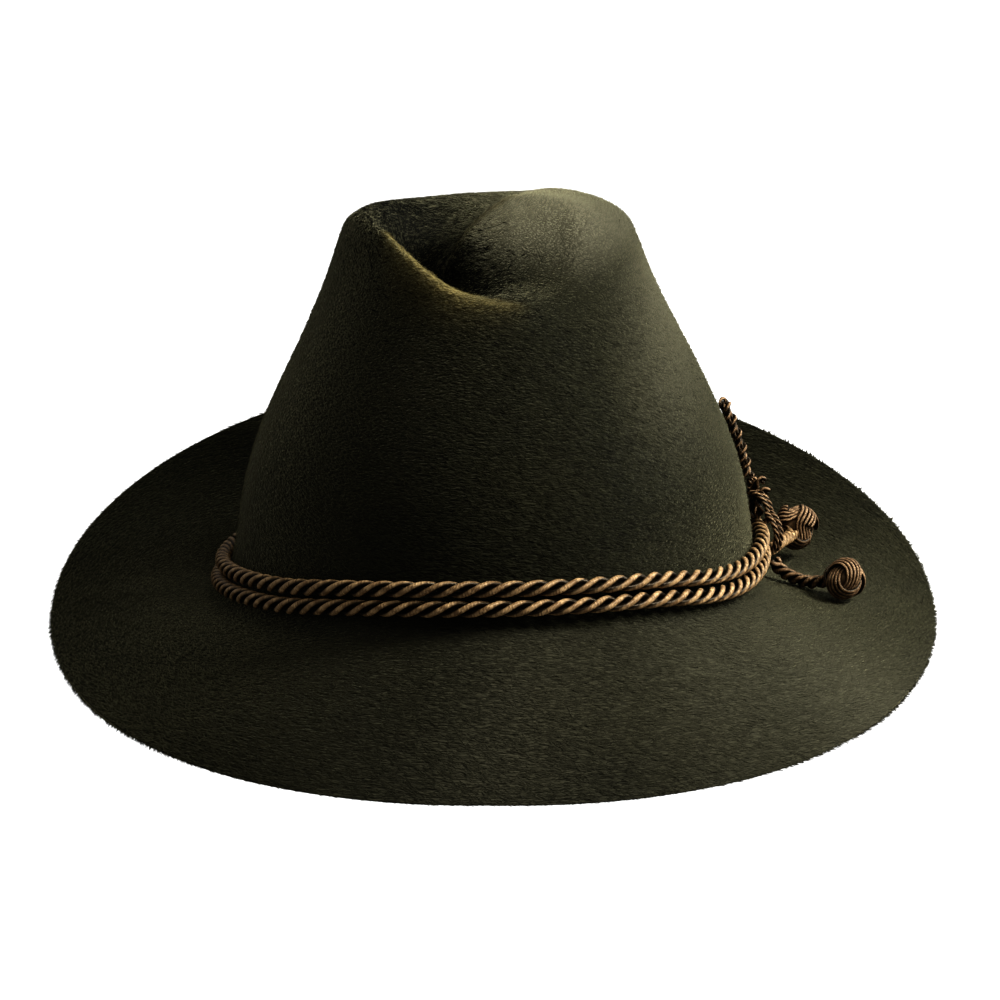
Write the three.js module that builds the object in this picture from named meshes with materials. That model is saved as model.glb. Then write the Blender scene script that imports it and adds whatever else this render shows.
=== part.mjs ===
// A wide-brimmed hunting hat of long-napped felt with a double twisted cord round the crown.
//
// Millimetres, +Z up, the front of the hat towards -Y, the wearer's left towards +X. The origin is the
// middle of the footprint on the surface that the hat rests on. Azimuth runs from the front (0) over the
// wearer's left (90) to the back (180). The hat is drawn in its own frame, with the head band level at
// height 0, and rest() then leans it back as it stands on the brim's front edge and the rear break.
import * as THREE from 'three';

// Driving dimensions.
const FELT_THICKNESS = 2.5;
const LEAN_BACK = THREE.MathUtils.degToRad(11.3);
const BAND_ABOVE_FLOOR = 24.2;
const FOOTPRINT_SHIFT = { x: -0.6, y: -3.1 };
const CROWN_HEIGHT = 117;
const CORD_DIAMETER = 5;
const LOOP_CORD_DIAMETER = 4.2;
const END_KNOT_DIAMETER = 14;
const SEAT_GAP = 0.3;
const EDGE_FLAT = 0.15;
const AZIMUTH_STEPS = 60;
const FRONT_CROWDING = 0.25;

// Outside of the crown by height: half its width, its middle's shift towards the wearer's left, and its
// reach to the front and to the back.
const CROWN_SECTIONS = [
  { height: -10, side: 83.6, shift: 0.6, front: 105.2, back: 104.6 },
  { height: 0, side: 82.7, shift: 0.7, front: 104.4, back: 104.4 },
  { height: 8, side: 81.9, shift: 0.9, front: 103, back: 103.8 },
  { height: 20, side: 80.2, shift: 1.2, front: 100, back: 102.5 },
  { height: 31, side: 77.9, shift: 1, front: 96.5, back: 100 },
  { height: 41, side: 74.6, shift: 0.8, front: 92, back: 97 },
  { height: 51, side: 70.3, shift: 0.7, front: 87, back: 93.5 },
  { height: 61, side: 65.5, shift: 0.7, front: 81.5, back: 89.5 },
  { height: 70, side: 60.9, shift: 0.6, front: 76.5, back: 85.5 },
  { height: 80, side: 56, shift: 0.1, front: 71, back: 81 },
  { height: 90, side: 51.4, shift: -0.4, front: 65.5, back: 76 },
  { height: 99, side: 48.2, shift: -0.7, front: 60, back: 71 },
  { height: 106, side: 45.6, shift: -0.9, front: 55.5, back: 66.5 },
];
const SHOULDER_HEIGHT = 106;
const CROWN_LEVELS = [20, 30, 41, 51, 61, 70, 79, 87, 93, 98, 102, 106];
const TOP_ROLL = 0.05;
const SHOULDER_SHARES = [0.97, 0.9, 0.8, 0.68, 0.54, 0.4, 0.26, 0.13];

// The brim by azimuth: the height of the line where it breaks from the crown, its width, how high its
// edge lies above the floor, and how much it curls upward from root to edge, in degrees.
const BRIM_SECTIONS = [
  { azimuth: 0, root: -2.5, width: 57.5, edge: 0, curl: -8 },
  { azimuth: 30, root: -4.9, width: 58.3, edge: 0, curl: -6 },
  { azimuth: 50, root: -6.8, width: 58.6, edge: 1.5, curl: -4 },
  { azimuth: 90, root: -8.5, width: 57.5, edge: 9.5, curl: 2 },
  { azimuth: 112, root: -7.8, width: 59, edge: 18.5, curl: 14 },
  { azimuth: 135, root: -6, width: 61, edge: 29.5, curl: 24 },
  { azimuth: 158, root: -4.4, width: 62, edge: 39, curl: 30 },
  { azimuth: 180, root: -4.1, width: 62, edge: 42, curl: 32 },
];
const BRIM_SHARES = [0.22, 0.38, 0.54, 0.7, 0.85, 0.97, 1];
const BREAK_RISE = 8;
const BREAK_REACH = 7;
const BREAK_SHARES = [0, 0.33, 0.67, 1];

// The cord band: the height of the line between its two rounds.
const BAND_SECTIONS = [
  { azimuth: -180, height: 6 },
  { azimuth: -150, height: 5 },
  { azimuth: -120, height: 1.6 },
  { azimuth: -90, height: -1.4 },
  { azimuth: -47, height: -0.4 },
  { azimuth: -35, height: 1.2 },
  { azimuth: -20, height: 2.7 },
  { azimuth: 0, height: 3.6 },
  { azimuth: 34, height: 3.6 },
  { azimuth: 46, height: 2.2 },
  { azimuth: 57, height: 1.6 },
  { azimuth: 67, height: 2.4 },
  { azimuth: 80, height: 4.8 },
  { azimuth: 95, height: 6.2 },
  { azimuth: 125, height: 6.6 },
  { azimuth: 150, height: 6.2 },
  { azimuth: 180, height: 6 },
];
const BAND_STEPS = 60;

// The routes of the shorter cords beside the crown wall: azimuth, height and the clear distance of their
// centre line from the felt.
const LOOP_ROUTE = [
  { azimuth: 97.6, height: 25.2, away: 2.6 },
  { azimuth: 97.4, height: 34, away: 2.5 },
  { azimuth: 97.4, height: 42, away: 2.5 },
  { azimuth: 97.6, height: 46.4, away: 2.6 },
  { azimuth: 98.4, height: 48.2, away: 2.8 },
  { azimuth: 99.9, height: 48.2, away: 2.8 },
  { azimuth: 100.7, height: 46.4, away: 2.6 },
  { azimuth: 100.9, height: 42, away: 2.5 },
  { azimuth: 100.9, height: 34, away: 2.5 },
  { azimuth: 100.7, height: 25.2, away: 2.6 },
];
const PLAIT = { azimuth: 99, top: 22.4, bottom: 13.6, halfWidth: 3.1, halfDepth: 1.3, turns: 2.5 };
const PLAIT_DIAMETER = 2.8;
const BIGHT_DIAMETER = 3.4;
const UPPER_BIGHT_ROUTE = [
  { azimuth: 95, height: 22, away: 2.05 },
  { azimuth: 94.4, height: 20.2, away: 4.4 },
  { azimuth: 94.2, height: 17, away: 6.4 },
  { azimuth: 94.8, height: 13.2, away: 7.6 },
];
const LOWER_BIGHT_ROUTE = [
  { azimuth: 92, height: 12.4, away: 7.7 },
  { azimuth: 91.8, height: 8.4, away: 8 },
  { azimuth: 92.2, height: 4.2, away: 8 },
  { azimuth: 93, height: 0.4, away: 7.5 },
];

// The two tails: how each starts beside the crown wall or runs over the brim, by azimuth, distance out
// from the break and height above the felt, and the middles of the ball knots that they end in.
const TAIL_DIAMETER = 4;
const UPPER_TAIL_START = [
  { azimuth: 96.6, height: 4.4, away: 7.95 },
  { azimuth: 98.6, height: 5.4, away: 9.4 },
];
const LOWER_TAIL_START = [
  { azimuth: 96.4, out: 8.6, above: 3.4 },
  { azimuth: 93.6, out: 12.6, above: 2.4 },
  { azimuth: 91, out: 17.4, above: 2.7 },
];
const UPPER_END_KNOT = { azimuth: 108.6, out: 22, above: 10.6 };
const LOWER_END_KNOT = { azimuth: 87.2, out: 27, above: 7.35 };

// The dent: the valley that a thumb presses from the back of the top, over the front and round to the
// wearer's left. outer and inner are the half widths on its right-hand and left-hand side, lean the
// push's angle from straight down towards the back.
const DENT = [
  { x: 4, y: 50, z: 115, depth: 0, outer: 26, inner: 20, lean: 0 },
  { x: -1, y: 30, z: 118, depth: 3, outer: 29, inner: 23, lean: 0 },
  { x: -8, y: 6, z: 119, depth: 13, outer: 27, inner: 23, lean: 6 },
  { x: -15.5, y: -20, z: 118, depth: 20, outer: 20.5, inner: 21, lean: 16 },
  { x: -19, y: -43, z: 113, depth: 20.5, outer: 15.6, inner: 21, lean: 31 },
  { x: -12, y: -57, z: 103.5, depth: 15, outer: 12, inner: 24, lean: 41 },
  { x: 2, y: -62, z: 98, depth: 10.5, outer: 12, inner: 26, lean: 48 },
  { x: 20, y: -59, z: 97, depth: 4.5, outer: 13, inner: 25, lean: 52 },
  { x: 36, y: -52, z: 99, depth: 0, outer: 14, inner: 22, lean: 54 },
];

// How softly the dent runs out: 1 leaves a crisp rim, 2 a soft one.
const DENT_RIM = { outer: 1.2, inner: 1.6 };

// The azimuths of the felt's grid, closer together at the front where the dent is.
const azimuths = Array.from({ length: AZIMUTH_STEPS }, (_, i) => {
  const turn = (i * 2 * Math.PI) / AZIMUTH_STEPS;
  return turn - FRONT_CROWDING * Math.sin(turn);
});

/** Reads a column of a table at a place between its rows, on a smooth curve through them. */
function read(rows, key, column, at) {
  const last = rows.length - 1;
  let i = rows.findIndex((row) => row[key] >= at);
  if (i < 0) i = last;
  i = THREE.MathUtils.clamp(i, 1, last);
  const [a, b] = [rows[i - 1], rows[i]];
  const [before, after] = [rows[Math.max(i - 2, 0)], rows[Math.min(i + 1, last)]];
  const span = b[key] - a[key];
  const t = THREE.MathUtils.clamp((at - a[key]) / span, 0, 1);
  const slopeA = ((b[column] - before[column]) / (b[key] - before[key])) * span;
  const slopeB = ((after[column] - a[column]) / (after[key] - a[key])) * span;
  return (
    (2 * t ** 3 - 3 * t ** 2 + 1) * a[column] + (t ** 3 - 2 * t ** 2 + t) * slopeA +
    (3 * t ** 2 - 2 * t ** 3) * b[column] + (t ** 3 - t ** 2) * slopeB
  );
}

/** A point of the undented crown's outside, on one of its level sections shrunk by share. */
function ovalPoint(height, azimuth, share = 1) {
  const side = read(CROWN_SECTIONS, 'height', 'side', height);
  const front = read(CROWN_SECTIONS, 'height', 'front', height);
  const back = read(CROWN_SECTIONS, 'height', 'back', height);
  const shift = read(CROWN_SECTIONS, 'height', 'shift', height);
  const reach = Math.cos(azimuth) > 0 ? front : back;
  return new THREE.Vector3(
    shift + share * side * Math.sin(azimuth), -share * reach * Math.cos(azimuth), height,
  );
}

/** A point of the rounded top: share 1 is the shoulder, 0 the middle. */
function topPoint(share, azimuth) {
  const point = ovalPoint(SHOULDER_HEIGHT, azimuth, share);
  const rise = Math.pow(1 - Math.pow(share, 3.2), 0.62);
  point.z = SHOULDER_HEIGHT + (CROWN_HEIGHT - SHOULDER_HEIGHT) * rise;
  point.z += TOP_ROLL * point.x * (1 - share * share);
  return point;
}

const valley = new THREE.CatmullRomCurve3(DENT.map((row) => new THREE.Vector3(row.x, row.y, row.z)));
const VALLEY_STEPS = 160;
const valleyPoints = valley.getPoints(VALLEY_STEPS);
const dentRows = DENT.map((row, index) => ({ ...row, at: index / (DENT.length - 1) }));

/** How far the dent moves a point of the crown. */
function dentAt(point) {
  let nearest = 0;
  for (let i = 1; i <= VALLEY_STEPS; i += 1) {
    if (point.distanceToSquared(valleyPoints[i]) < point.distanceToSquared(valleyPoints[nearest])) {
      nearest = i;
    }
  }
  const at = nearest / VALLEY_STEPS;
  const along = valley.getTangent(at);
  const away = point.clone().sub(valleyPoints[nearest]);
  const up = new THREE.Vector3(point.x * 0.3, point.y * 0.5, 40).normalize();
  const isOuter = new THREE.Vector3().crossVectors(along, up).dot(away) > 0;
  const halfWidth = read(dentRows, 'at', isOuter ? 'outer' : 'inner', at);
  const offset = away.length() / halfWidth;
  if (offset >= 1) return new THREE.Vector3();
  const profile = Math.pow(Math.cos((offset * Math.PI) / 2), isOuter ? DENT_RIM.outer : DENT_RIM.inner);
  const push = Math.max(read(dentRows, 'at', 'depth', at), 0) * profile;
  const lean = THREE.MathUtils.degToRad(read(dentRows, 'at', 'lean', at));
  return new THREE.Vector3(0, push * Math.sin(lean), -push * Math.cos(lean));
}

/** Presses the dent into a ring of the crown, each point eased with its neighbours. */
function dentedRing(ring) {
  const moves = ring.map(dentAt);
  return ring.map((point, i) => {
    const beside = moves.at(i - 1).clone().add(moves[(i + 1) % ring.length]);
    return rest(point.clone().addScaledVector(moves[i], 0.6).addScaledVector(beside, 0.2));
  });
}

/** Leans a point of the hat's own frame back and sets it on the floor. */
function rest(point) {
  return point
    .applyAxisAngle(new THREE.Vector3(1, 0, 0), -LEAN_BACK)
    .add(new THREE.Vector3(FOOTPRINT_SHIFT.x, FOOTPRINT_SHIFT.y, BAND_ABOVE_FLOOR));
}

/** Where the crown breaks into the brim at an azimuth, as a height in the hat's own frame. */
function breakHeight(azimuth) {
  return read(BRIM_SECTIONS, 'azimuth', 'root', turnFromFront(azimuth));
}

/** How far round an azimuth is from the front, in degrees. */
function turnFromFront(azimuth) {
  return THREE.MathUtils.radToDeg(Math.acos(Math.cos(azimuth)));
}

/** The outside of the crown from the middle of the top down to its lowest level, as rings of points. */
function crownRings() {
  const top = [...SHOULDER_SHARES].reverse().map((share) => azimuths.map((a) => topPoint(share, a)));
  const wall = [...CROWN_LEVELS].reverse().map((level) => azimuths.map((a) => ovalPoint(level, a)));
  const foot = azimuths.map((a) => ovalPoint(breakHeight(a) + BREAK_RISE, a));
  return [...top, ...wall, foot].map(dentedRing);
}

/** The brim's place at one azimuth: its root under the crown wall, its way out and its slopes. */
function brimSection(azimuth) {
  const turned = turnFromFront(azimuth);
  const width = read(BRIM_SECTIONS, 'azimuth', 'width', turned);
  const edge = read(BRIM_SECTIONS, 'azimuth', 'edge', turned);
  const curl = THREE.MathUtils.degToRad(read(BRIM_SECTIONS, 'azimuth', 'curl', turned));
  const root = rest(ovalPoint(breakHeight(azimuth), azimuth));
  const step = 0.01;
  const next = ovalPoint(0, azimuth + step).sub(ovalPoint(0, azimuth - step));
  const out = new THREE.Vector3(-next.y, next.x, 0).normalize().negate();
  const bow = Math.abs(curl) < 1e-6 ? 1 : Math.sin(curl / 2) / (curl / 2);
  const slope = Math.asin(THREE.MathUtils.clamp((edge - root.z) / (width * bow), -0.95, 0.95));
  return { root, out, width, slope, curl };
}

/** A point of the brim's upper face at a share of its width. */
function brimPoint(section, share) {
  const { root, out, width, slope, curl } = section;
  const point = root.clone();
  const steps = 24;
  for (let i = 0; i < steps; i += 1) {
    const at = ((i + 0.5) / steps) * share;
    const angle = slope + curl * (at - 0.5);
    point.addScaledVector(out, (width * share * Math.cos(angle)) / steps);
    point.z += (width * share * Math.sin(angle)) / steps;
  }
  return point;
}

/** A point of the soft bend between the crown wall, at t 0, and the brim, at t 1. */
function breakPoint(section, azimuth, t) {
  const wall = rest(ovalPoint(breakHeight(azimuth) + BREAK_RISE, azimuth));
  const out = brimPoint(section, BREAK_REACH / section.width);
  return wall.multiplyScalar((1 - t) ** 2)
    .addScaledVector(section.root, 2 * t * (1 - t))
    .addScaledVector(out, t * t);
}

/** The bend and the brim as rings of points. */
function brimRings() {
  const sections = azimuths.map(brimSection);
  const bends = BREAK_SHARES.slice(1).map((t) => azimuths.map((a, i) => breakPoint(sections[i], a, t)));
  const brim = BRIM_SHARES.map((share) => sections.map((section) => brimPoint(section, share)));
  return [...bends, ...brim];
}

/** Cuts the edge's underside level where it stands on the floor, and presses the rest up to the floor. */
function seatOnFloor(outside, inside, count) {
  for (let i = outside.length - count; i < outside.length; i += 1) {
    if (outside[i].z < EDGE_FLAT) outside[i].setZ(0);
    const under = inside[i];
    if (under.z < 0) {
      const inward = inside[i - count].clone().sub(under);
      under.addScaledVector(inward, -under.z / inward.z);
    }
  }
  inside.forEach((point) => point.setZ(Math.max(point.z, 0)));
}

/** A closed solid wall: rings of the outside, ordered from the pole out, thickened inward. */
function feltWall(pole, rings, thickness) {
  const count = rings[0].length;
  const outside = [pole, ...rings.flat()];
  const faces = [];
  const at = (ring, i) => 1 + ring * count + (i % count);
  for (let i = 0; i < count; i += 1) faces.push([0, at(0, i), at(0, i + 1)]);
  for (let ring = 0; ring < rings.length - 1; ring += 1) {
    for (let i = 0; i < count; i += 1) {
      faces.push([at(ring, i), at(ring + 1, i), at(ring + 1, i + 1)]);
      faces.push([at(ring, i), at(ring + 1, i + 1), at(ring, i + 1)]);
    }
  }
  const outer = new THREE.BufferGeometry().setFromPoints(outside);
  outer.setIndex(faces.flat());
  outer.computeVertexNormals();
  const normals = outer.attributes.normal;
  const inside = outside.map((point, i) => point.clone().addScaledVector(
    new THREE.Vector3().fromBufferAttribute(normals, i), -thickness,
  ));
  const shift = outside.length;
  seatOnFloor(outside, inside, count);
  const inner = faces.map(([a, b, c]) => [a + shift, c + shift, b + shift]);
  const last = rings.length - 1;
  const edge = [];
  for (let i = 0; i < count; i += 1) {
    const [a, b] = [at(last, i), at(last, i + 1)];
    edge.push([a, a + shift, b + shift], [a, b + shift, b]);
  }
  const wall = new THREE.BufferGeometry().setFromPoints([...outside, ...inside]);
  wall.setIndex([...faces, ...inner, ...edge].flat());
  return wall;
}

/** The felt, crown and brim in one piece. */
function feltBody() {
  const [pole] = dentedRing([topPoint(0, 0)]);
  const rings = [...crownRings(), ...brimRings()];
  return feltWall(pole, rings, FELT_THICKNESS);
}

const materials = {
  felt: new THREE.MeshStandardMaterial({ color: 0x2c2b1f, roughness: 0.95, metalness: 0 }),
  cord: new THREE.MeshStandardMaterial({ color: 0x7a5a38, roughness: 0.6, metalness: 0 }),
};

const hat = new THREE.Group();

/** Adds a named piece to the hat. */
function add(name, geometry, material) {
  const mesh = new THREE.Mesh(geometry, material);
  mesh.name = name;
  hat.add(mesh);
  return mesh;
}

/** The felt's outside along one azimuth, from high on the wall to the brim's edge. */
function feltProfile(azimuth) {
  const section = brimSection(azimuth);
  const foot = breakHeight(azimuth) + BREAK_RISE;
  const count = 28;
  const shares = Array.from({ length: count + 1 }, (_, i) => i / count);
  const wall = shares.slice(0, -1).map((t) => rest(ovalPoint(60 + (foot - 60) * t, azimuth)));
  const bend = shares.slice(0, -1).map((t) => breakPoint(section, azimuth, t));
  const start = BREAK_REACH / section.width;
  const brim = shares.map((t) => brimPoint(section, start + (1 - start) * t));
  return [...wall, ...bend, ...brim];
}

/** Points off the felt along one azimuth: the profile moved out square to it by a distance. */
function clearProfile(azimuth, away) {
  const here = feltProfile(azimuth);
  const before = feltProfile(azimuth - 0.01);
  const after = feltProfile(azimuth + 0.01);
  return here.map((point, i) => {
    const round = after[i].clone().sub(before[i]);
    const down = here[Math.min(i + 1, here.length - 1)].clone().sub(here[Math.max(i - 1, 0)]);
    return point.clone().addScaledVector(down.cross(round).normalize(), away);
  });
}

/** The height of a floor-frame point in the hat's own frame. */
function heightOnHat(point) {
  return point.clone()
    .sub(new THREE.Vector3(FOOTPRINT_SHIFT.x, FOOTPRINT_SHIFT.y, BAND_ABOVE_FLOOR))
    .applyAxisAngle(new THREE.Vector3(1, 0, 0), LEAN_BACK).z;
}

/** A place beside the crown wall: azimuth in degrees, height on the hat, distance from the felt. */
function besideWall({ azimuth, height, away }) {
  const points = clearProfile(THREE.MathUtils.degToRad(azimuth), away);
  const i = Math.max(points.findIndex((point) => heightOnHat(point) < height), 1);
  const [high, low] = [heightOnHat(points[i - 1]), heightOnHat(points[i])];
  return points[i - 1].clone().lerp(points[i], THREE.MathUtils.clamp((high - height) / (high - low), 0, 1));
}

/** A place over the brim: azimuth in degrees, distance out from the break, distance from the felt. */
function overBrim({ azimuth, out, above }) {
  const turn = THREE.MathUtils.degToRad(azimuth);
  const section = brimSection(turn);
  const at = (a, distance) => {
    const beside = brimSection(a);
    return brimPoint(beside, distance / beside.width);
  };
  const round = at(turn + 0.01, out).sub(at(turn - 0.01, out));
  const away = at(turn, out + 0.5).sub(at(turn, out - 0.5));
  return brimPoint(section, out / section.width).addScaledVector(away.cross(round).normalize(), above);
}

/** A cord with flat ends along a smooth route. */
function cord(points, diameter, steps, sides = 8) {
  const ring = Array.from({ length: sides }, (_, i) => {
    const turn = (i * 2 * Math.PI) / sides;
    return new THREE.Vector2((diameter / 2) * Math.cos(turn), (diameter / 2) * Math.sin(turn));
  });
  const path = new THREE.CatmullRomCurve3(points);
  return new THREE.ExtrudeGeometry(new THREE.Shape(ring), {
    steps, extrudePath: path, bevelEnabled: false, curveSegments: 1,
  });
}

/** One round of the cord band, a closed ring of cord. */
function bandRound(rise) {
  const points = Array.from({ length: BAND_STEPS }, (_, i) => {
    const azimuth = (i * 360) / BAND_STEPS - 180;
    const height = read(BAND_SECTIONS, 'azimuth', 'height', azimuth) + rise;
    return besideWall({ azimuth, height, away: CORD_DIAMETER / 2 + SEAT_GAP + 0.15 });
  });
  const path = new THREE.CatmullRomCurve3(points, true);
  return new THREE.TubeGeometry(path, BAND_STEPS, CORD_DIAMETER / 2, 8, true);
}

/** The strand that is plaited to and fro round the foot of the loop. */
function plait() {
  const { azimuth, top, bottom, halfWidth, halfDepth, turns } = PLAIT;
  const steps = Math.round(turns * 12);
  const middleAway = PLAIT_DIAMETER / 2 + halfDepth + SEAT_GAP + 0.2;
  const perDegree = besideWall({ azimuth: azimuth + 1, height: top, away: 0 })
    .distanceTo(besideWall({ azimuth, height: top, away: 0 }));
  return Array.from({ length: steps + 1 }, (_, i) => {
    const turn = (i / steps) * turns * 2 * Math.PI;
    return besideWall({
      azimuth: azimuth + (halfWidth * Math.cos(turn)) / perDegree,
      height: top + ((bottom - top) * i) / steps,
      away: middleAway + halfDepth * Math.sin(turn),
    });
  });
}

/** A ball knot: a ball whose six crossing bundles of cord stand out from it. */
function endKnot(centre) {
  const ball = new THREE.SphereGeometry(END_KNOT_DIAMETER / 2, 16, 11);
  const place = ball.attributes.position;
  for (let i = 0; i < place.count; i += 1) {
    const point = new THREE.Vector3().fromBufferAttribute(place, i);
    const [x, y, z] = point.clone().normalize().toArray().map(Math.abs);
    const square = Math.max(x, y, z);
    point.multiplyScalar(0.94 + 0.06 * ((square - 0.577) / 0.423));
    point.add(centre);
    place.setXYZ(i, point.x, point.y, point.z);
  }
  return ball;
}

/** Adds a tail and its ball knot: the tail's far end meets the ball square on. */
function addTail(side, start, centre) {
  const last = start[start.length - 1];
  const reach = END_KNOT_DIAMETER / 2 + SEAT_GAP;
  const end = centre.clone().add(last.clone().sub(centre).setLength(reach));
  add(`tail_${side}`, cord([...start, end], TAIL_DIAMETER, 3 * start.length), materials.cord);
  add(`end_knot_${side}`, endKnot(centre), materials.cord);
}

add('felt_body', feltBody(), materials.felt);
add('cord_band_upper', bandRound(CORD_DIAMETER / 2 + SEAT_GAP), materials.cord);
add('cord_band_lower', bandRound(-CORD_DIAMETER / 2 - SEAT_GAP), materials.cord);
add('cord_loop', cord(LOOP_ROUTE.map(besideWall), LOOP_CORD_DIAMETER, 30), materials.cord);
add('cord_plait', cord(plait(), PLAIT_DIAMETER, 48, 6), materials.cord);
add('knot_bight_upper', cord(UPPER_BIGHT_ROUTE.map(besideWall), BIGHT_DIAMETER, 10), materials.cord);
add('knot_bight_lower', cord(LOWER_BIGHT_ROUTE.map(besideWall), BIGHT_DIAMETER, 10), materials.cord);
addTail('upper', UPPER_TAIL_START.map(besideWall), overBrim(UPPER_END_KNOT));
addTail('lower', LOWER_TAIL_START.map(overBrim), overBrim(LOWER_END_KNOT));

export default hat;
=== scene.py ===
"""A wide-brimmed hunting hat of brushed velour felt, with a twisted cord band and two ball knots."""

import logging
import math
from collections.abc import Callable, Sequence
from dataclasses import dataclass, field, replace
from enum import Enum

import bmesh
import bpy
import numpy as np
from mathutils import Matrix, Vector
from mathutils.kdtree import KDTree


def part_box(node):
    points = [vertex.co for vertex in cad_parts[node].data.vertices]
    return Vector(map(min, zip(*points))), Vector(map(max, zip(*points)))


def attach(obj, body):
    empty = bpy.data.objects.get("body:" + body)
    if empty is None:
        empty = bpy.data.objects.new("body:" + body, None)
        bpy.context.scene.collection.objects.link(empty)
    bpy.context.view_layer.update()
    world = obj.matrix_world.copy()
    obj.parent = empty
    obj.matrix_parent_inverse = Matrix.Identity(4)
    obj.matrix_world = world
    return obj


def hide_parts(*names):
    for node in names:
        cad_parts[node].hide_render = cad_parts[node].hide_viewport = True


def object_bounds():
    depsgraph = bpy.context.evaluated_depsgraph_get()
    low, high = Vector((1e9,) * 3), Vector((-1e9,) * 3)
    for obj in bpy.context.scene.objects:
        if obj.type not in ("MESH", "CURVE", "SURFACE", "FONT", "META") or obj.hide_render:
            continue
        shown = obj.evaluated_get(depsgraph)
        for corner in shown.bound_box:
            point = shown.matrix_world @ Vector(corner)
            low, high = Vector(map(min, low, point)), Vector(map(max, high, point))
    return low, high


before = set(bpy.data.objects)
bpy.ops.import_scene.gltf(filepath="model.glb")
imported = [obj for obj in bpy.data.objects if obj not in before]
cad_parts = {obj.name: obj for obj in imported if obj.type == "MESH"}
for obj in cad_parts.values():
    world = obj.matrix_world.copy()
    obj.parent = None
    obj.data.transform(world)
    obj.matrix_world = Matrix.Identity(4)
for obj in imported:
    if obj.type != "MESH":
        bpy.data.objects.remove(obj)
cad_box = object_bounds()

logging.basicConfig(level=logging.INFO, format="%(name)s: %(message)s")
log = logging.getLogger("hunting_hat")

MM = 0.001
TURN = 2 * math.pi
BODY = "root"
ROUTE_STEP_MM = 0.8

# A strand of nap is a closed spike: three corners at its foot and one at its tip.
SPIKE_CORNERS = 4
SPIKE_FACES = ((0, 1, 3), (1, 2, 3), (2, 0, 3), (0, 2, 1))

Colour = tuple[float, float, float]
Point = tuple[float, float, float]


class Zone(Enum):
    """The faces of the felt, by the slot of the material that they wear."""

    NAPPED = 0
    CUT_EDGE = 1
    UNDERSIDE = 2


class Lay(Enum):
    """Which way a cord is twisted: its strands rise to the right or to the left as it is seen."""

    RIGHT = -1
    LEFT = 1


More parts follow.
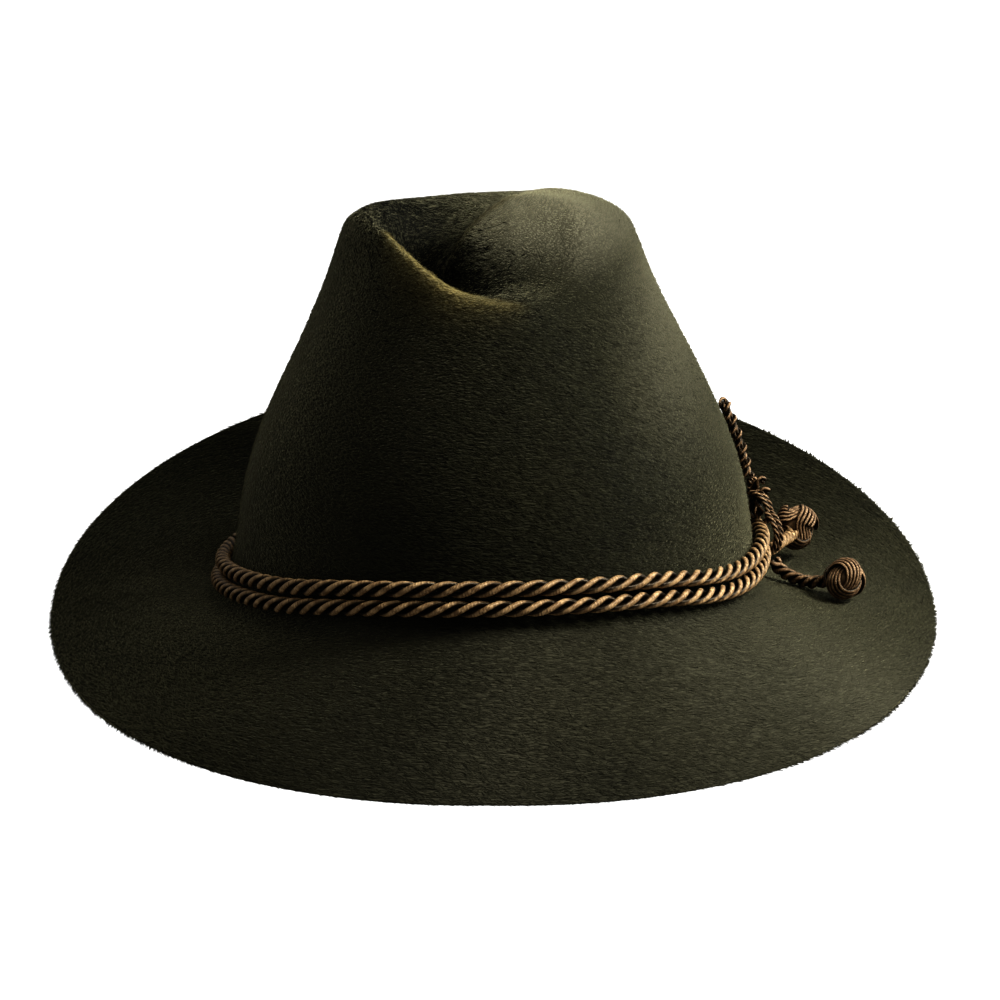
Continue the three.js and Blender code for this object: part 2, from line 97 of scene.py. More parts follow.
class Paint:
    """A material in the making, with short ways to add its nodes and join them."""

    def __init__(self, name: str) -> None:
        """Starts a material that has one principled shader.

        Args:
            name: The material's name.
        """
        self.material = bpy.data.materials.new(name)
        self.material.use_nodes = True
        self.tree = self.material.node_tree
        self.tree.nodes.clear()
        output = self.tree.nodes.new("ShaderNodeOutputMaterial")
        self.shader = self.tree.nodes.new("ShaderNodeBsdfPrincipled")
        self.join(self.shader.outputs["BSDF"], output.inputs["Surface"])

    def join(self, source: bpy.types.NodeSocket, target: bpy.types.NodeSocket) -> None:
        """Joins an output to an input."""
        self.tree.links.new(source, target)

    def feed(self, target: bpy.types.NodeSocket, value: object) -> None:
        """Gives an input a constant or joins an output to it.

        Args:
            target: The input.
            value: A number, a colour, or another node's output.
        """
        if isinstance(value, bpy.types.NodeSocket):
            self.join(value, target)
        elif isinstance(value, tuple) and target.type == "RGBA":
            target.default_value = (*value, 1.0)
        else:
            target.default_value = value

    def node(self, kind: str, inputs: dict[str, object] | None = None, **settings: object) -> bpy.types.Node:
        """Adds a node.

        Args:
            kind: The node's type without its leading ShaderNode.
            inputs: What its inputs get, by name.
            **settings: What its own properties get.

        Returns:
            The new node.
        """
        made = self.tree.nodes.new("ShaderNode" + kind)
        for name, value in settings.items():
            setattr(made, name, value)
        for name, value in (inputs or {}).items():
            self.feed(made.inputs[name], value)
        return made

    def sum_up(self, operation: str, first: object, second: object = 0.0) -> bpy.types.NodeSocket:
        """Does one step of arithmetic.

        Args:
            operation: The Math node's operation.
            first: A number or an output.
            second: A number or an output.

        Returns:
            The result's output.
        """
        made = self.node("Math", operation=operation)
        self.feed(made.inputs[0], first)
        self.feed(made.inputs[1], second)
        return made.outputs[0]

    def times(self, first: object, second: object) -> bpy.types.NodeSocket:
        """Multiplies two numbers or outputs."""
        return self.sum_up("MULTIPLY", first, second)

    def settle(self, **sockets: object) -> None:
        """Feeds the shader's own inputs.

        Args:
            **sockets: What each input gets, by its name with underscores for the spaces.
        """
        for name, value in sockets.items():
            self.feed(self.shader.inputs[name.replace("_", " ")], value)

    def spread(
        self, value: object, low: float, high: float, to_low: float = 0.0, to_high: float = 1.0
    ) -> bpy.types.NodeSocket:
        """Maps a value from one range to another, clamped.

        Args:
            value: The output to map.
            low: Start of its own range.
            high: End of its own range.
            to_low: Start of the new range.
            to_high: End of the new range.

        Returns:
            The mapped value's output.
        """
        inputs = {"Value": value, "From Min": low, "From Max": high, "To Min": to_low, "To Max": to_high}
        return self.node("MapRange", inputs).outputs["Result"]

    def blend(self, amount: object, first: object, second: object, way: str = "MIX") -> bpy.types.NodeSocket:
        """Mixes two colours.

        Args:
            amount: How much of the second there is.
            first: A colour or an output.
            second: A colour or an output.
            way: The Mix node's blend type.

        Returns:
            The mixed colour's output.
        """
        made = self.node("Mix", data_type="RGBA", blend_type=way)
        self.feed(made.inputs["Factor"], amount)
        self.feed(made.inputs[6], first)
        self.feed(made.inputs[7], second)
        return made.outputs[2]

    def own_place(self) -> bpy.types.NodeSocket:
        """The surface point in the piece's own coordinates."""
        return self.node("TexCoord").outputs["Object"]

    def attribute(self, name: str) -> bpy.types.NodeSocket:
        """The number that the mesh keeps under a name."""
        return self.node("Attribute", attribute_name=name).outputs["Fac"]

    def noise(
        self, vector: object, scale: float, detail: float = 2.0, rough: float = 0.5
    ) -> bpy.types.NodeSocket:
        """Soft noise over the surface.

        Args:
            vector: Where it is read.
            scale: How many waves there are to a metre.
            detail: How many finer layers it has.
            rough: How strong the finer layers are.

        Returns:
            The noise's value, from 0 to 1.
        """
        inputs = {"Vector": vector, "Scale": scale, "Detail": detail, "Roughness": rough}
        return self.node("TexNoise", inputs).outputs["Fac"]

    def emboss(self, height: object, strength: float, depth_mm: float) -> bpy.types.NodeSocket:
        """Raises the surface by a height.

        Args:
            height: The height's output, from 0 to 1.
            strength: How strongly it shows.
            depth_mm: How deep it is.

        Returns:
            The new normal's output.
        """
        inputs = {"Height": height, "Strength": strength, "Distance": depth_mm * MM}
        return self.node("Bump", inputs).outputs["Normal"]


@dataclass(frozen=True)
class VelourFinish:
    """The felt's colours and how far its nap scatters light."""

    dark: Colour = (0.0027, 0.0030, 0.0014)
    light: Colour = (0.0140, 0.0146, 0.0076)
    warm: Colour = (0.0180, 0.0162, 0.0064)
    edge_dark: Colour = (0.022, 0.0185, 0.0095)
    edge_light: Colour = (0.082, 0.066, 0.034)
    roughness: float = 0.9
    specular: float = 0.12
    sheen: float = 0.9
    root_sheen: float = 0.38
    sheen_roughness: float = 0.38
    sheen_tint: Colour = (0.60, 0.575, 0.36)
    # Colour of the painted highlight along the dent's lip and the spur's crest.
    crest_highlight: Colour = (0.190, 0.155, 0.062)
    # Colour of the painted light on the dome, the shoulders and the brim.
    painted_light: Colour = (0.090, 0.086, 0.060)
    # Colour and sheen of the painted shade in the dent's hollow.
    shade_tone: Colour = (0.0040, 0.0040, 0.0014)
    shade_sheen: float = 0.0
    strand_length_mm: float = 2.0
    strand_width_mm: float = 0.6
    usual_reach_mm: float = 95.0
    least_reach_m: float = 0.004

    def combed(self, paint: Paint) -> bpy.types.NodeSocket:
        """Fine noise that is drawn out round the hat, the way the felt is brushed.

        Args:
            paint: The material in the making.

        Returns:
            The noise's value.
        """
        apart = paint.node("SeparateXYZ", {"Vector": paint.own_place()})
        x, y, z = (apart.outputs[name] for name in "XYZ")
        squared = paint.sum_up("ADD", paint.times(x, x), paint.times(y, y))
        out = paint.sum_up("MAXIMUM", paint.sum_up("POWER", squared, 0.5), self.least_reach_m)
        round_scale = self.usual_reach_mm / self.strand_length_mm
        across = 1 / (self.strand_width_mm * MM)
        spot = paint.node("CombineXYZ", {
            "X": paint.times(paint.sum_up("DIVIDE", x, out), round_scale),
            "Y": paint.times(paint.sum_up("DIVIDE", y, out), round_scale),
            "Z": paint.times(z, across),
        }).outputs["Vector"]
        inputs = {"Vector": spot, "W": paint.times(out, across), "Scale": 1.0, "Detail": 2.0}
        return paint.node("TexNoise", inputs, noise_dimensions="4D").outputs["Fac"]

    def soft_light(self, paint: Paint, sheen: float) -> None:
        """Sets the shader's constant sockets for a deep matt pile.

        Args:
            paint: The material in the making.
            sheen: How strongly the pile shines.
        """
        paint.settle(
            Roughness=self.roughness, Specular_IOR_Level=self.specular, Sheen_Weight=sheen,
            Sheen_Roughness=self.sheen_roughness, Sheen_Tint=self.sheen_tint,
        )

    def own_colour(self, paint: Paint, grain: object, cloudy: float) -> bpy.types.NodeSocket:
        """The felt's own colour, with slow clouds of a warmer one.

        Args:
            paint: The material in the making.
            grain: How light each spot is, from 0 to 1.
            cloudy: How much of the warmer colour the clouds have.

        Returns:
            The colour's output.
        """
        cloud = paint.spread(paint.noise(paint.own_place(), 22.0, 3.0, 0.55), 0.32, 0.68)
        tone = paint.blend(grain, self.dark, self.light)
        return paint.blend(paint.times(cloud, cloudy), tone, self.warm)

    def with_painted_light(self, paint: Paint, tone: bpy.types.NodeSocket) -> bpy.types.NodeSocket:
        """A colour with painted light and a painted highlight laid over it.

        Args:
            paint: The material in the making.
            tone: The felt's own colour.

        Returns:
            The colour's output, paler where the mesh asks for painted light on the lit parts and for a
            painted highlight along the dent's lip and crest.
        """
        tone = paint.blend(paint.attribute("painted_light"), tone, self.painted_light)
        return paint.blend(paint.attribute("crest_highlight"), tone, self.crest_highlight)

    def felt(self) -> bpy.types.Material:
        """The brushed outside of the felt, under its standing nap.

        Returns:
            The material.
        """
        paint = Paint("velour_felt")
        combed = self.combed(paint)
        tone = self.own_colour(paint, paint.spread(combed, 0.34, 0.66), 0.28)
        # The felt's own colour with its painted light and painted highlight.
        paint.settle(Base_Color=self.with_painted_light(paint, tone), Normal=paint.emboss(combed, 1.0, 1.1))
        self.soft_light(paint, self.root_sheen)
        return paint.material

    def cut_edge(self) -> bpy.types.Material:
        """The raw edge, where the felt's paler heart shows.

        Returns:
            The material.
        """
        paint = Paint("cut_felt_edge")
        grain = paint.noise(paint.own_place(), 2600.0, 4.0, 0.65)
        tone = paint.blend(grain, self.edge_dark, self.edge_light)
        paint.settle(Base_Color=tone, Normal=paint.emboss(grain, 1.0, 0.35))
        self.soft_light(paint, self.sheen)
        return paint.material

    def underside(self) -> bpy.types.Material:
        """The shorter, matted felt of the hollow and the brim's underside.

        Returns:
            The material.
        """
        paint = Paint("felt_underside")
        matted = paint.noise(paint.own_place(), 900.0, 5.0, 0.7)
        tone = self.own_colour(paint, paint.spread(matted, 0.3, 0.7), 0.35)
        paint.settle(Base_Color=tone, Normal=paint.emboss(matted, 0.8, 0.3))
        self.soft_light(paint, self.sheen)
        return paint.material

    def nap(self, name: str = "velour_nap") -> bpy.types.Material:
        """The single strands: darker at the root, each with a tone of its own.

        Args:
            name: The material's name.

        Returns:
            The material, made once and then shared.
        """
        if name in bpy.data.materials:
            return bpy.data.materials[name]
        paint = Paint(name)
        # The strands take the same painted light and painted highlight as the felt under them.
        tone = self.with_painted_light(paint, self.own_colour(paint, paint.attribute("shade"), 0.35))
        dim = paint.spread(paint.attribute("tip"), 0.0, 1.0, 0.55, 1.15)
        shaded = paint.node("CombineColor", {"Red": dim, "Green": dim, "Blue": dim}).outputs["Color"]
        paint.settle(Base_Color=paint.blend(1.0, tone, shaded, "MULTIPLY"))
        self.soft_light(paint, self.sheen)
        return paint.material

    def shaded_nap(self) -> bpy.types.Material:
        """Strands with painted shade: darker and without sheen, for the hollow of the dent.

        Returns:
            The material, made once and then shared.
        """
        dull = replace(
            self, light=self.shade_tone, warm=self.shade_tone, painted_light=self.shade_tone, sheen=self.shade_sheen,
        )
        return dull.nap("painted_shade_nap")


@dataclass(frozen=True)
class SilkCordFinish:
    """The brown silk that every strand of cord is wrapped with."""

    name: str = "wrapped_silk_cord"
    groove_shade: Colour = (0.0040, 0.0022, 0.0010)
    thread_gap_shade: Colour = (0.050, 0.027, 0.011)
    brown: Colour = (0.170, 0.102, 0.049)
    gold: Colour = (0.58, 0.405, 0.215)
    glint: Colour = (1.0, 0.82, 0.58)
    roughness: float = 0.36
    specular: float = 0.35
    thread_mm: float = 0.42
    threads_slant: int = 2
    groove_shade_to: float = 0.15
    unshaded_from: float = 0.85

    def material(self) -> bpy.types.Material:
        """Silk wound round each strand in fine slanting threads, with painted shade between the threads and
        on the sides of each strand that face into the cord or ball.

        Returns:
            The material.
        """
        paint = Paint(self.name)
        apart = paint.node("SeparateXYZ", {"Vector": paint.node("UVMap", uv_map="UVMap").outputs["UV"]})
        around, along = apart.outputs["X"], apart.outputs["Y"]
        turns = paint.sum_up("DIVIDE", along, self.thread_mm)
        turns = paint.sum_up("ADD", turns, paint.times(around, float(self.threads_slant)))
        ridge = paint.spread(paint.sum_up("SINE", paint.times(turns, TURN)), -1.0, 1.0)
        single = paint.node("TexWhiteNoise", {"W": paint.sum_up("FLOOR", turns)}, noise_dimensions="1D")
        uneven = paint.noise(paint.own_place(), 420.0, 3.0, 0.6)
        # Painted shade in the gaps between the wound threads.
        tone = paint.blend(paint.spread(ridge, 0.0, 0.6), self.thread_gap_shade, self.brown)
        shine = paint.times(single.outputs["Value"], paint.spread(uneven, 0.35, 0.7, 0.25, 1.0))
        tone = paint.blend(shine, tone, self.gold)
        # Painted shade on the sides of each strand that face into the cord, where neighbouring strands shade
        # it.
        facing_out = paint.sum_up("COSINE", paint.times(around, TURN))
        tone = paint.blend(paint.spread(facing_out, self.groove_shade_to, self.unshaded_from), self.groove_shade, tone)
        paint.settle(
            Base_Color=tone, Normal=paint.emboss(ridge, 0.55, 0.12), Roughness=self.roughness,
            Specular_IOR_Level=self.specular, Specular_Tint=self.glint,
        )
        return paint.material


@dataclass(frozen=True)
class Press:
    """A soft push or pull on the top of the crown, along a route seen from above. Millimetres."""

    route: tuple[Point, ...]
    reach: float

    def lift(self, places: np.ndarray) -> np.ndarray:
        """How far the press lifts each place.

        Args:
            places: The places, of which the height isn't looked at.

        Returns:
            One lift for each, below zero where the crown is pressed in.
        """
        gap, height = beside(self.route, places)
        return height * bell(gap, self.reach)


@dataclass
class FeltBody:
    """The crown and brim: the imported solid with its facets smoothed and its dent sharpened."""

    finish: VelourFinish
    node: str = "felt_body"
    weld_m: float = 2e-6
    sharp: float = math.radians(48)
    edge_crease: float = 0.85
    pressed_above: float = 96.0
    pressed_fade: float = 10.0
    hollow: Press = Press((
        (-21, 12, -1), (-21.5, 3, -4), (-23, -7, -8), (-22, -18, -11), (-18.5, -27, -9), (-13, -34, -5),
        (-6, -39, -2), (2, -42, 0),
    ), 5.6)
    lip: Press = Press((
        (-35, -15, 0), (-31.5, -21, 2.6), (-26.5, -31, 4.2), (-21.3, -38.6, 4), (-15.7, -44.6, 3),
        (-9, -48.2, 2.4), (-2, -50, 1.4), (5, -50.5, 0.6), (12, -50, 0), (22, -48, 0), (34, -41, 0),
    ), 4.4)
    spur: tuple[Point, ...] = (
        (-16, -28, 0), (-13.5, -24, 0), (-8.5, -17.8, 0), (-4.4, -13.2, 0), (1.9, -8.2, 0), (10, 0, 0),
        (17, 6, 0),
    )
    crest: tuple[Point, ...] = (
        (-13.5, -24, 0), (-11, -20.6, 0.16), (-8.5, -17.8, 0.3), (-4.4, -13.2, 0.34), (1.9, -8.2, 0.3),
        (10, 0, 0.12), (17, 6, 0),
    )
    dome_profile: tuple[Point, ...] = (
        (0, -50, 122), (0, -46, 122.2), (0, -40, 123.6), (0, -35, 126.8), (0, -30, 131.2), (0, -25, 135.6),
        (0, -20, 138.8), (0, -15, 140.9), (0, -10, 142.1), (0, -5, 142.7), (0, 5, 143),
    )
    dome_at: tuple[float, float] = (9.0, -25.0)
    dome_reach: float = 42.0
    dome_tilt: float = 0.25
    # How the painted highlight spreads: full where the lip rises this high, how far behind and in front of
    # the lip it fades, and how far from the spur's crest.
    highlight_high: float = 2.6
    highlight_behind: float = 1.4
    highlight_in_front: float = 2.0
    highlight_reach: float = 6.0
    crest_reach: float = 1.5
    # Where the dent's hollow gets painted shade: the route's heights are the share of it, not a push.
    shade_press: Press = Press((
        (-23, 48, 0.1), (-24, 36, 0.9), (-25, 22, 1.6), (-26, 4, 1.6), (-24, -8, 1.5), (-21.5, -20, 1.2),
        (-15, -32, 0.9), (-7, -41, 0.7), (2, -44, 0.5), (10, -44, 0.2), (18, -43, 0),
    ), 11.0)
    piece: bpy.types.Object | None = None

    def build(self) -> bpy.types.Object:
        """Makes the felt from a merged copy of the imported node.

        Returns:
            The felt's object, which stands for the node.
        """
        shell = bmesh.new()
        shell.from_mesh(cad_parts[self.node].data)
        bmesh.ops.remove_doubles(shell, verts=shell.verts, dist=self.weld_m)
        bmesh.ops.join_triangles(
            shell, faces=shell.faces, angle_face_threshold=math.pi, angle_shape_threshold=math.pi,
            topology_influence=1.0,
        )
        self.mark_zones(shell)
        mesh = self.finer(self.creased(shell))
        self.press(mesh)
        shell = bmesh.new()
        shell.from_mesh(mesh)
        mesh = self.creased(shell)
        mesh.shade_smooth()
        self.piece = place(mesh, "felt", "felt", self.node)
        # The shares of painted highlight and painted light, kept on the felt for its materials.
        write_numbers(mesh, "crest_highlight", self.crest_highlight(read_rows(mesh.vertices, "co")))
        write_numbers(mesh, "painted_light", self.painted_light(read_rows(mesh.vertices, "co")))
        for made in (self.finish.felt(), self.finish.cut_edge(), self.finish.underside()):
            mesh.materials.append(made)
        smooth = self.piece.modifiers.new("smooth", "SUBSURF")
        smooth.levels = smooth.render_levels = 1
        return self.piece

    def crest_highlight(self, points: np.ndarray) -> np.ndarray:
        """How much painted highlight the pile gets: most along the dent's lip, and a little on the crest
        beside it.

        Args:
            points: Places on the felt, in metres.

        Returns:
            One number for each, from 0 to 1.
        """
        places = points / MM
        gap, height = beside(self.lip.route, places)
        core = bell(gap, np.where(gap > 0, self.highlight_behind, self.highlight_in_front))
        halo = bell(gap, np.where(gap > 0, self.highlight_behind, self.highlight_reach))
        share = np.clip(height / self.highlight_high, 0, 1) * ease(places[:, 0], -37.0, -30.0)
        lip = share * (0.76 * core + 0.30 * halo)
        gap, share = beside(self.crest, places)
        return (lip + share * bell(gap, self.crest_reach)) * self.topmost(places)

    def topmost(self, places: np.ndarray) -> np.ndarray:
        """How far places in millimetres are up in the pressed top of the crown, from 0 to 1."""
        return np.clip((places[:, 2] - self.pressed_above) / self.pressed_fade, 0, 1)

    def painted_light(self, points: np.ndarray) -> np.ndarray:
        """How much painted light the pile gets where the lamps fall on it: on the dome, the right shoulder, a
        little on the left, and the brim towards the front and the right.

        Args:
            points: Places on the felt, in metres.

        Returns:
            One share for each, from 0 to 1.
        """
        x, y, z = (points / MM).T
        dome = ease(z + 3.5 * ease(x, 12.0, 28.0), 124.0, 141.0) * ease(x, -14.0, 2.0)
        dome *= 0.97 - 0.35 * ease(x, 16.0, 36.0)
        shoulder = 0.42 * ease(x, 30.0, 54.0) * ease(z, 62.0, 112.0) + 0.08 * ease(-x, 5.0, 45.0)
        brim = 0.33 * ease(-y, 5.0, 100.0) * ease(x, -105.0, -5.0)
        brim *= 1 - 0.3 * ease(x, 0.0, 40.0) + 0.4 * ease(x, 60.0, 110.0)
        cloud = 1 + 0.2 * waves(points, 14.0, 41)
        return np.clip(np.where(on_crown(points), np.maximum(dome, shoulder), brim) * cloud, 0, 1)

    def shade_share(self, points: np.ndarray) -> np.ndarray:
        """How much of the pile gets painted shade, dark and without sheen: most in the hollow of the dent,
        less under the painted highlight.

        Args:
            points: Places on the felt, in metres.

        Returns:
            One share for each, from 0 to 1.
        """
        places = points / MM
        return np.clip(self.shade_press.lift(places), 0, 1) * self.topmost(places) * (1 - self.crest_highlight(points))

    def mark_zones(self, shell: bmesh.types.BMesh) -> None:
        """Tells the outside, the cut edge and the underside apart.

        Args:
            shell: The merged felt.
        """
        top = max(shell.faces, key=lambda face: face.calc_center_median().z)
        outside, waiting = {top}, [top]
        rim: set[bmesh.types.BMEdge] = set()
        while waiting:
            for edge in waiting.pop().edges:
                if edge.calc_face_angle(0.0) > self.sharp:
                    rim.add(edge)
                    continue
                for beside in edge.link_faces:
                    if beside not in outside:
                        outside.add(beside)
                        waiting.append(beside)
        strip = {face for edge in rim for face in edge.link_faces if face not in outside}
        for face in shell.faces:
            zone = Zone.NAPPED if face in outside else Zone.CUT_EDGE if face in strip else Zone.UNDERSIDE
            face.material_index = zone.value
        log.info("felt: %d faces, %d on the cut edge", len(shell.faces), len(strip))

    def creased(self, shell: bmesh.types.BMesh) -> bpy.types.Mesh:
        """Creases the edges between zones, and turns the felt into a mesh.

        Args:
            shell: The felt, which is freed.

        Returns:
            Its mesh.
        """
        crease = shell.edges.layers.float.get("crease_edge") or shell.edges.layers.float.new("crease_edge")
        for edge in shell.edges:
            zones = {face.material_index for face in edge.link_faces}
            edge[crease] = self.edge_crease if len(zones) > 1 else 0.0
        return mesh_of(shell, "felt")

    def finer(self, mesh: bpy.types.Mesh) -> bpy.types.Mesh:
        """Splits each face in four and smooths them.

        Args:
            mesh: The felt.

        Returns:
            A finer mesh.
        """
        holder = object_of(mesh, "felt_cage")
        smooth = holder.modifiers.new("smooth", "SUBSURF")
        smooth.levels = smooth.render_levels = 1
        graph = bpy.context.evaluated_depsgraph_get()
        fine = bpy.data.meshes.new_from_object(holder.evaluated_get(graph))
        bpy.data.objects.remove(holder)
        bpy.data.meshes.remove(mesh)
        return fine

    def press(self, mesh: bpy.types.Mesh) -> None:
        """Deepens the dent behind a crisp lip, both faces of the felt together.

        Args:
            mesh: The felt's finer mesh.
        """
        places = read_rows(mesh.vertices, "co") / MM
        high = places[:, 2] > self.pressed_above
        lift = np.zeros(len(places))
        lift[high] = self.domed(mesh, places)[high]
        for press in (self.hollow, self.lip):
            lift[high] += press.lift(places[high])
        places[:, 2] += lift * self.topmost(places)
        mesh.vertices.foreach_set("co", (places * MM).astype(np.float32).ravel())
        mesh.update()

    def domed(self, mesh: bpy.types.Mesh, places: np.ndarray) -> np.ndarray:
        """How far the front of the dome beside the dent has to rise or fall to slope gently.

        Args:
            mesh: The felt's finer mesh.
            places: Its vertices in millimetres.

        Returns:
            One lift for each vertex, the same for both faces of the felt.
        """
        outside = np.zeros(len(places), bool)
        for face in mesh.polygons:
            if face.material_index == Zone.NAPPED.value:
                outside[list(face.vertices)] = True
        outside &= places[:, 2] > self.pressed_above
        tree = KDTree(int(outside.sum()))
        for index in np.flatnonzero(outside):
            tree.insert((places[index, 0], places[index, 1], 0.0), index)
        tree.balance()
        lift = np.zeros(len(places))
        profile = Line.through(self.dome_profile, 0.5).points
        off_dome = np.hypot(places[:, 0] - self.dome_at[0], places[:, 1] - self.dome_at[1])
        near = np.flatnonzero((off_dome < self.dome_reach) & (places[:, 2] > self.pressed_above))
        x, y, _ = places[near].T
        top = places[[tree.find((*places[index, :2], 0.0))[1] for index in near], 2]
        before_spur, _ = beside(self.spur, places[near])
        behind_lip, _ = beside(self.lip.route, places[near])
        share = ease(-before_spur, -2.5, 1.5) * ease(behind_lip, 1.5, 8.0)
        share *= ease(x, 34.0, 18.0)
        share *= ease(y, -1.0, -12.0)
        wanted = np.interp(y, profile[:, 1], profile[:, 2]) - self.dome_tilt * np.maximum(5.0 - x, 0.0)
        lift[near] = share * (wanted - top)
        return lift


@dataclass
class Surface:
    """The smoothed felt as triangles, to stand strands on."""

    corners: np.ndarray
    normals: np.ndarray
    zones: np.ndarray
    areas: np.ndarray

    @classmethod
    def of(cls, piece: bpy.types.Object) -> "Surface":
        """Reads the triangles of a piece with its modifiers.

        Args:
            piece: The felt.

        Returns:
            Its surface.
        """
        seen = piece.evaluated_get(bpy.context.evaluated_depsgraph_get())
        mesh = seen.to_mesh()
        mesh.calc_loop_triangles()
        index = read_counts(mesh.loop_triangles, "vertices", 3).reshape(-1, 3)
        face = read_counts(mesh.loop_triangles, "polygon_index")
        slots = read_counts(mesh.polygons, "material_index")
        corners = read_rows(mesh.vertices, "co")[index]
        normals = read_rows(mesh.vertices, "normal")[index]
        first, second = corners[:, 1] - corners[:, 0], corners[:, 2] - corners[:, 0]
        areas = np.linalg.norm(np.cross(first, second), axis=1) / 2
        seen.to_mesh_clear()
        return cls(corners, normals, slots[face], areas)

    def scatter(
        self, chosen: np.ndarray, count: int, chance: np.random.Generator
    ) -> tuple[np.ndarray, np.ndarray]:
        """Picks points evenly over some of the triangles.

        Args:
            chosen: Which triangles, as a mask.
            count: How many points.
            chance: Where the random numbers come from.

        Returns:
            The points and the surface's normals there.
        """
        weight = np.where(chosen, self.areas, 0.0)
        picked = np.searchsorted(np.cumsum(weight) / weight.sum(), chance.random(count))
        picked = np.minimum(picked, len(weight) - 1)
        a, b = chance.random(count), chance.random(count)
        fold = a + b > 1
        a, b = np.where(fold, 1 - a, a), np.where(fold, 1 - b, b)
        share = np.stack([1 - a - b, a, b], axis=1)[:, :, None]
        return (self.corners[picked] * share).sum(1), unit((self.normals[picked] * share).sum(1))


@dataclass
class Nap:
    """Strands of velour laid over one region of the felt, as one joined mesh."""

    name: str
    zone: Zone
    within: Callable[[np.ndarray], np.ndarray]
    count: int
    seed: int
    length_mm: float = 3.6
    width_mm: float = 0.36
    lift: float = 0.13
    outward: float = 0.15
    fray: float = 0.3
    sunk_mm: float = 0.05
    clear_of_cords_mm: float = 2.7
    swept_back: float = 0.0
    # Whether only strands with painted shade stand here, as many as the felt's share of shade allows.
    only_shaded: bool = False

    def build(self, surface: Surface, cords: np.ndarray, felt: FeltBody) -> bpy.types.Object:
        """Makes the strands.

        Args:
            surface: The felt's surface, that they stand on.
            cords: Points along the cords, under which no strand stands.
            felt: The felt, which knows where its pile gets painted highlight, painted light and painted
                shade.

        Returns:
            The strands' object.
        """
        chance = np.random.default_rng(self.seed)
        middles = surface.corners.mean(1)
        chosen = (surface.zones == self.zone.value) & self.within(middles)
        root, normal = surface.scatter(chosen, self.count, chance)
        clear = far_from(root, cords, self.clear_of_cords_mm * MM)
        if self.only_shaded:
            clear &= chance.random(len(root)) < felt.shade_share(root)
        root, normal = root[clear], normal[clear]
        way = self.brushed(root, normal, chance)
        mesh = self.strands(root, normal, way, chance)
        # The shares of painted highlight and painted light under each strand.
        write_numbers(mesh, "crest_highlight", np.repeat(felt.crest_highlight(root), SPIKE_CORNERS))
        write_numbers(mesh, "painted_light", np.repeat(felt.painted_light(root), SPIKE_CORNERS))
        mesh.materials.append(felt.finish.nap())
        # Strands that wear the painted shade.
        flat = self.only_shaded | (chance.random(len(root)) < felt.shade_share(root))
        if flat.any():
            mesh.materials.append(felt.finish.shaded_nap())
            mesh.polygons.foreach_set("material_index", np.repeat(flat, len(SPIKE_FACES)).astype(np.int32))
        piece = place(mesh, self.name, "felt")
        log.info("%s: %d strands", self.name, len(root))
        return piece

    def brushed(self, root: np.ndarray, normal: np.ndarray, chance: np.random.Generator) -> np.ndarray:
        """The way that each strand lies: round the hat, a little outward, and frayed.

        Args:
            root: Where the strands stand.
            normal: The surface's normals there.
            chance: Where the random numbers come from.

        Returns:
            Unit vectors along the strands.
        """
        up = np.array([0.0, 0.0, 1.0])
        out = unit(root * np.array([1.0, 1.0, 0.0]))
        around = np.cross(up, out)
        away = unit(out - up * 0.6)
        wave = waves(root, 20.0, self.seed) * 0.16 + waves(root, 90.0, self.seed + 2) * 0.1
        way = around + away * (self.outward + wave)[:, None]
        way += np.array([0.0, 1.0, 0.0]) * (self.swept_back * ease(root[:, 0], -0.015, 0.01))[:, None]
        way += chance.normal(0.0, self.fray, root.shape)
        way -= normal * (way * normal).sum(1)[:, None]
        lift = self.lift * (0.5 + chance.random(len(root)))
        return unit(unit(way) + normal * lift[:, None])

    def strands(
        self, root: np.ndarray, normal: np.ndarray, way: np.ndarray, chance: np.random.Generator
    ) -> bpy.types.Mesh:
        """Joins all the strands into one mesh of closed spikes.

        Args:
            root: Where the strands stand.
            normal: The surface's normals there.
            way: Unit vectors along the strands.
            chance: Where the random numbers come from.

        Returns:
            The mesh, with each strand's tone and its own cell of the baking map.
        """
        count = len(root)
        side = unit(np.cross(way, normal))
        over = np.cross(side, way)
        length = self.length_mm * MM * (0.45 + 0.75 * chance.random(count))[:, None]
        width = self.width_mm * MM * (0.6 + 0.6 * chance.random(count))[:, None]
        foot = root - normal * self.sunk_mm * MM
        points = np.stack([
            foot - side * width / 2, foot + side * width / 2, foot + over * width * 0.2, foot + way * length,
        ], axis=1)
        points[..., 2] = np.maximum(points[..., 2], 0.0)
        faces = (np.arange(count)[:, None, None] * SPIKE_CORNERS + np.array(SPIKE_FACES)).reshape(-1, 3)
        mesh = triangles(self.name, points.reshape(-1, 3), faces)
        tone = np.clip(0.5 + waves(root, 70.0, self.seed + 1) * 0.3 + chance.normal(0, 0.4, count), 0, 1)
        write_numbers(mesh, "shade", np.repeat(tone, SPIKE_CORNERS))
        write_numbers(mesh, "tip", np.tile([0.0, 0.0, 0.0, 1.0], count))
        cells = math.ceil(math.sqrt(count))
        cell = np.stack([np.arange(count) % cells, np.arange(count) // cells], axis=1)[:, None, :]
        spot = np.array([[0.1, 0.15], [0.1, 0.85], [0.3, 0.5], [0.9, 0.5]])[None, :, :]
        mapped = ((cell + spot) / cells).reshape(-1, 2)
        layer = mesh.uv_layers.new(name="OFBake")
        layer.data.foreach_set("uv", mapped[faces.reshape(-1)].astype(np.float32).ravel())
        mesh.shade_flat()
        return mesh


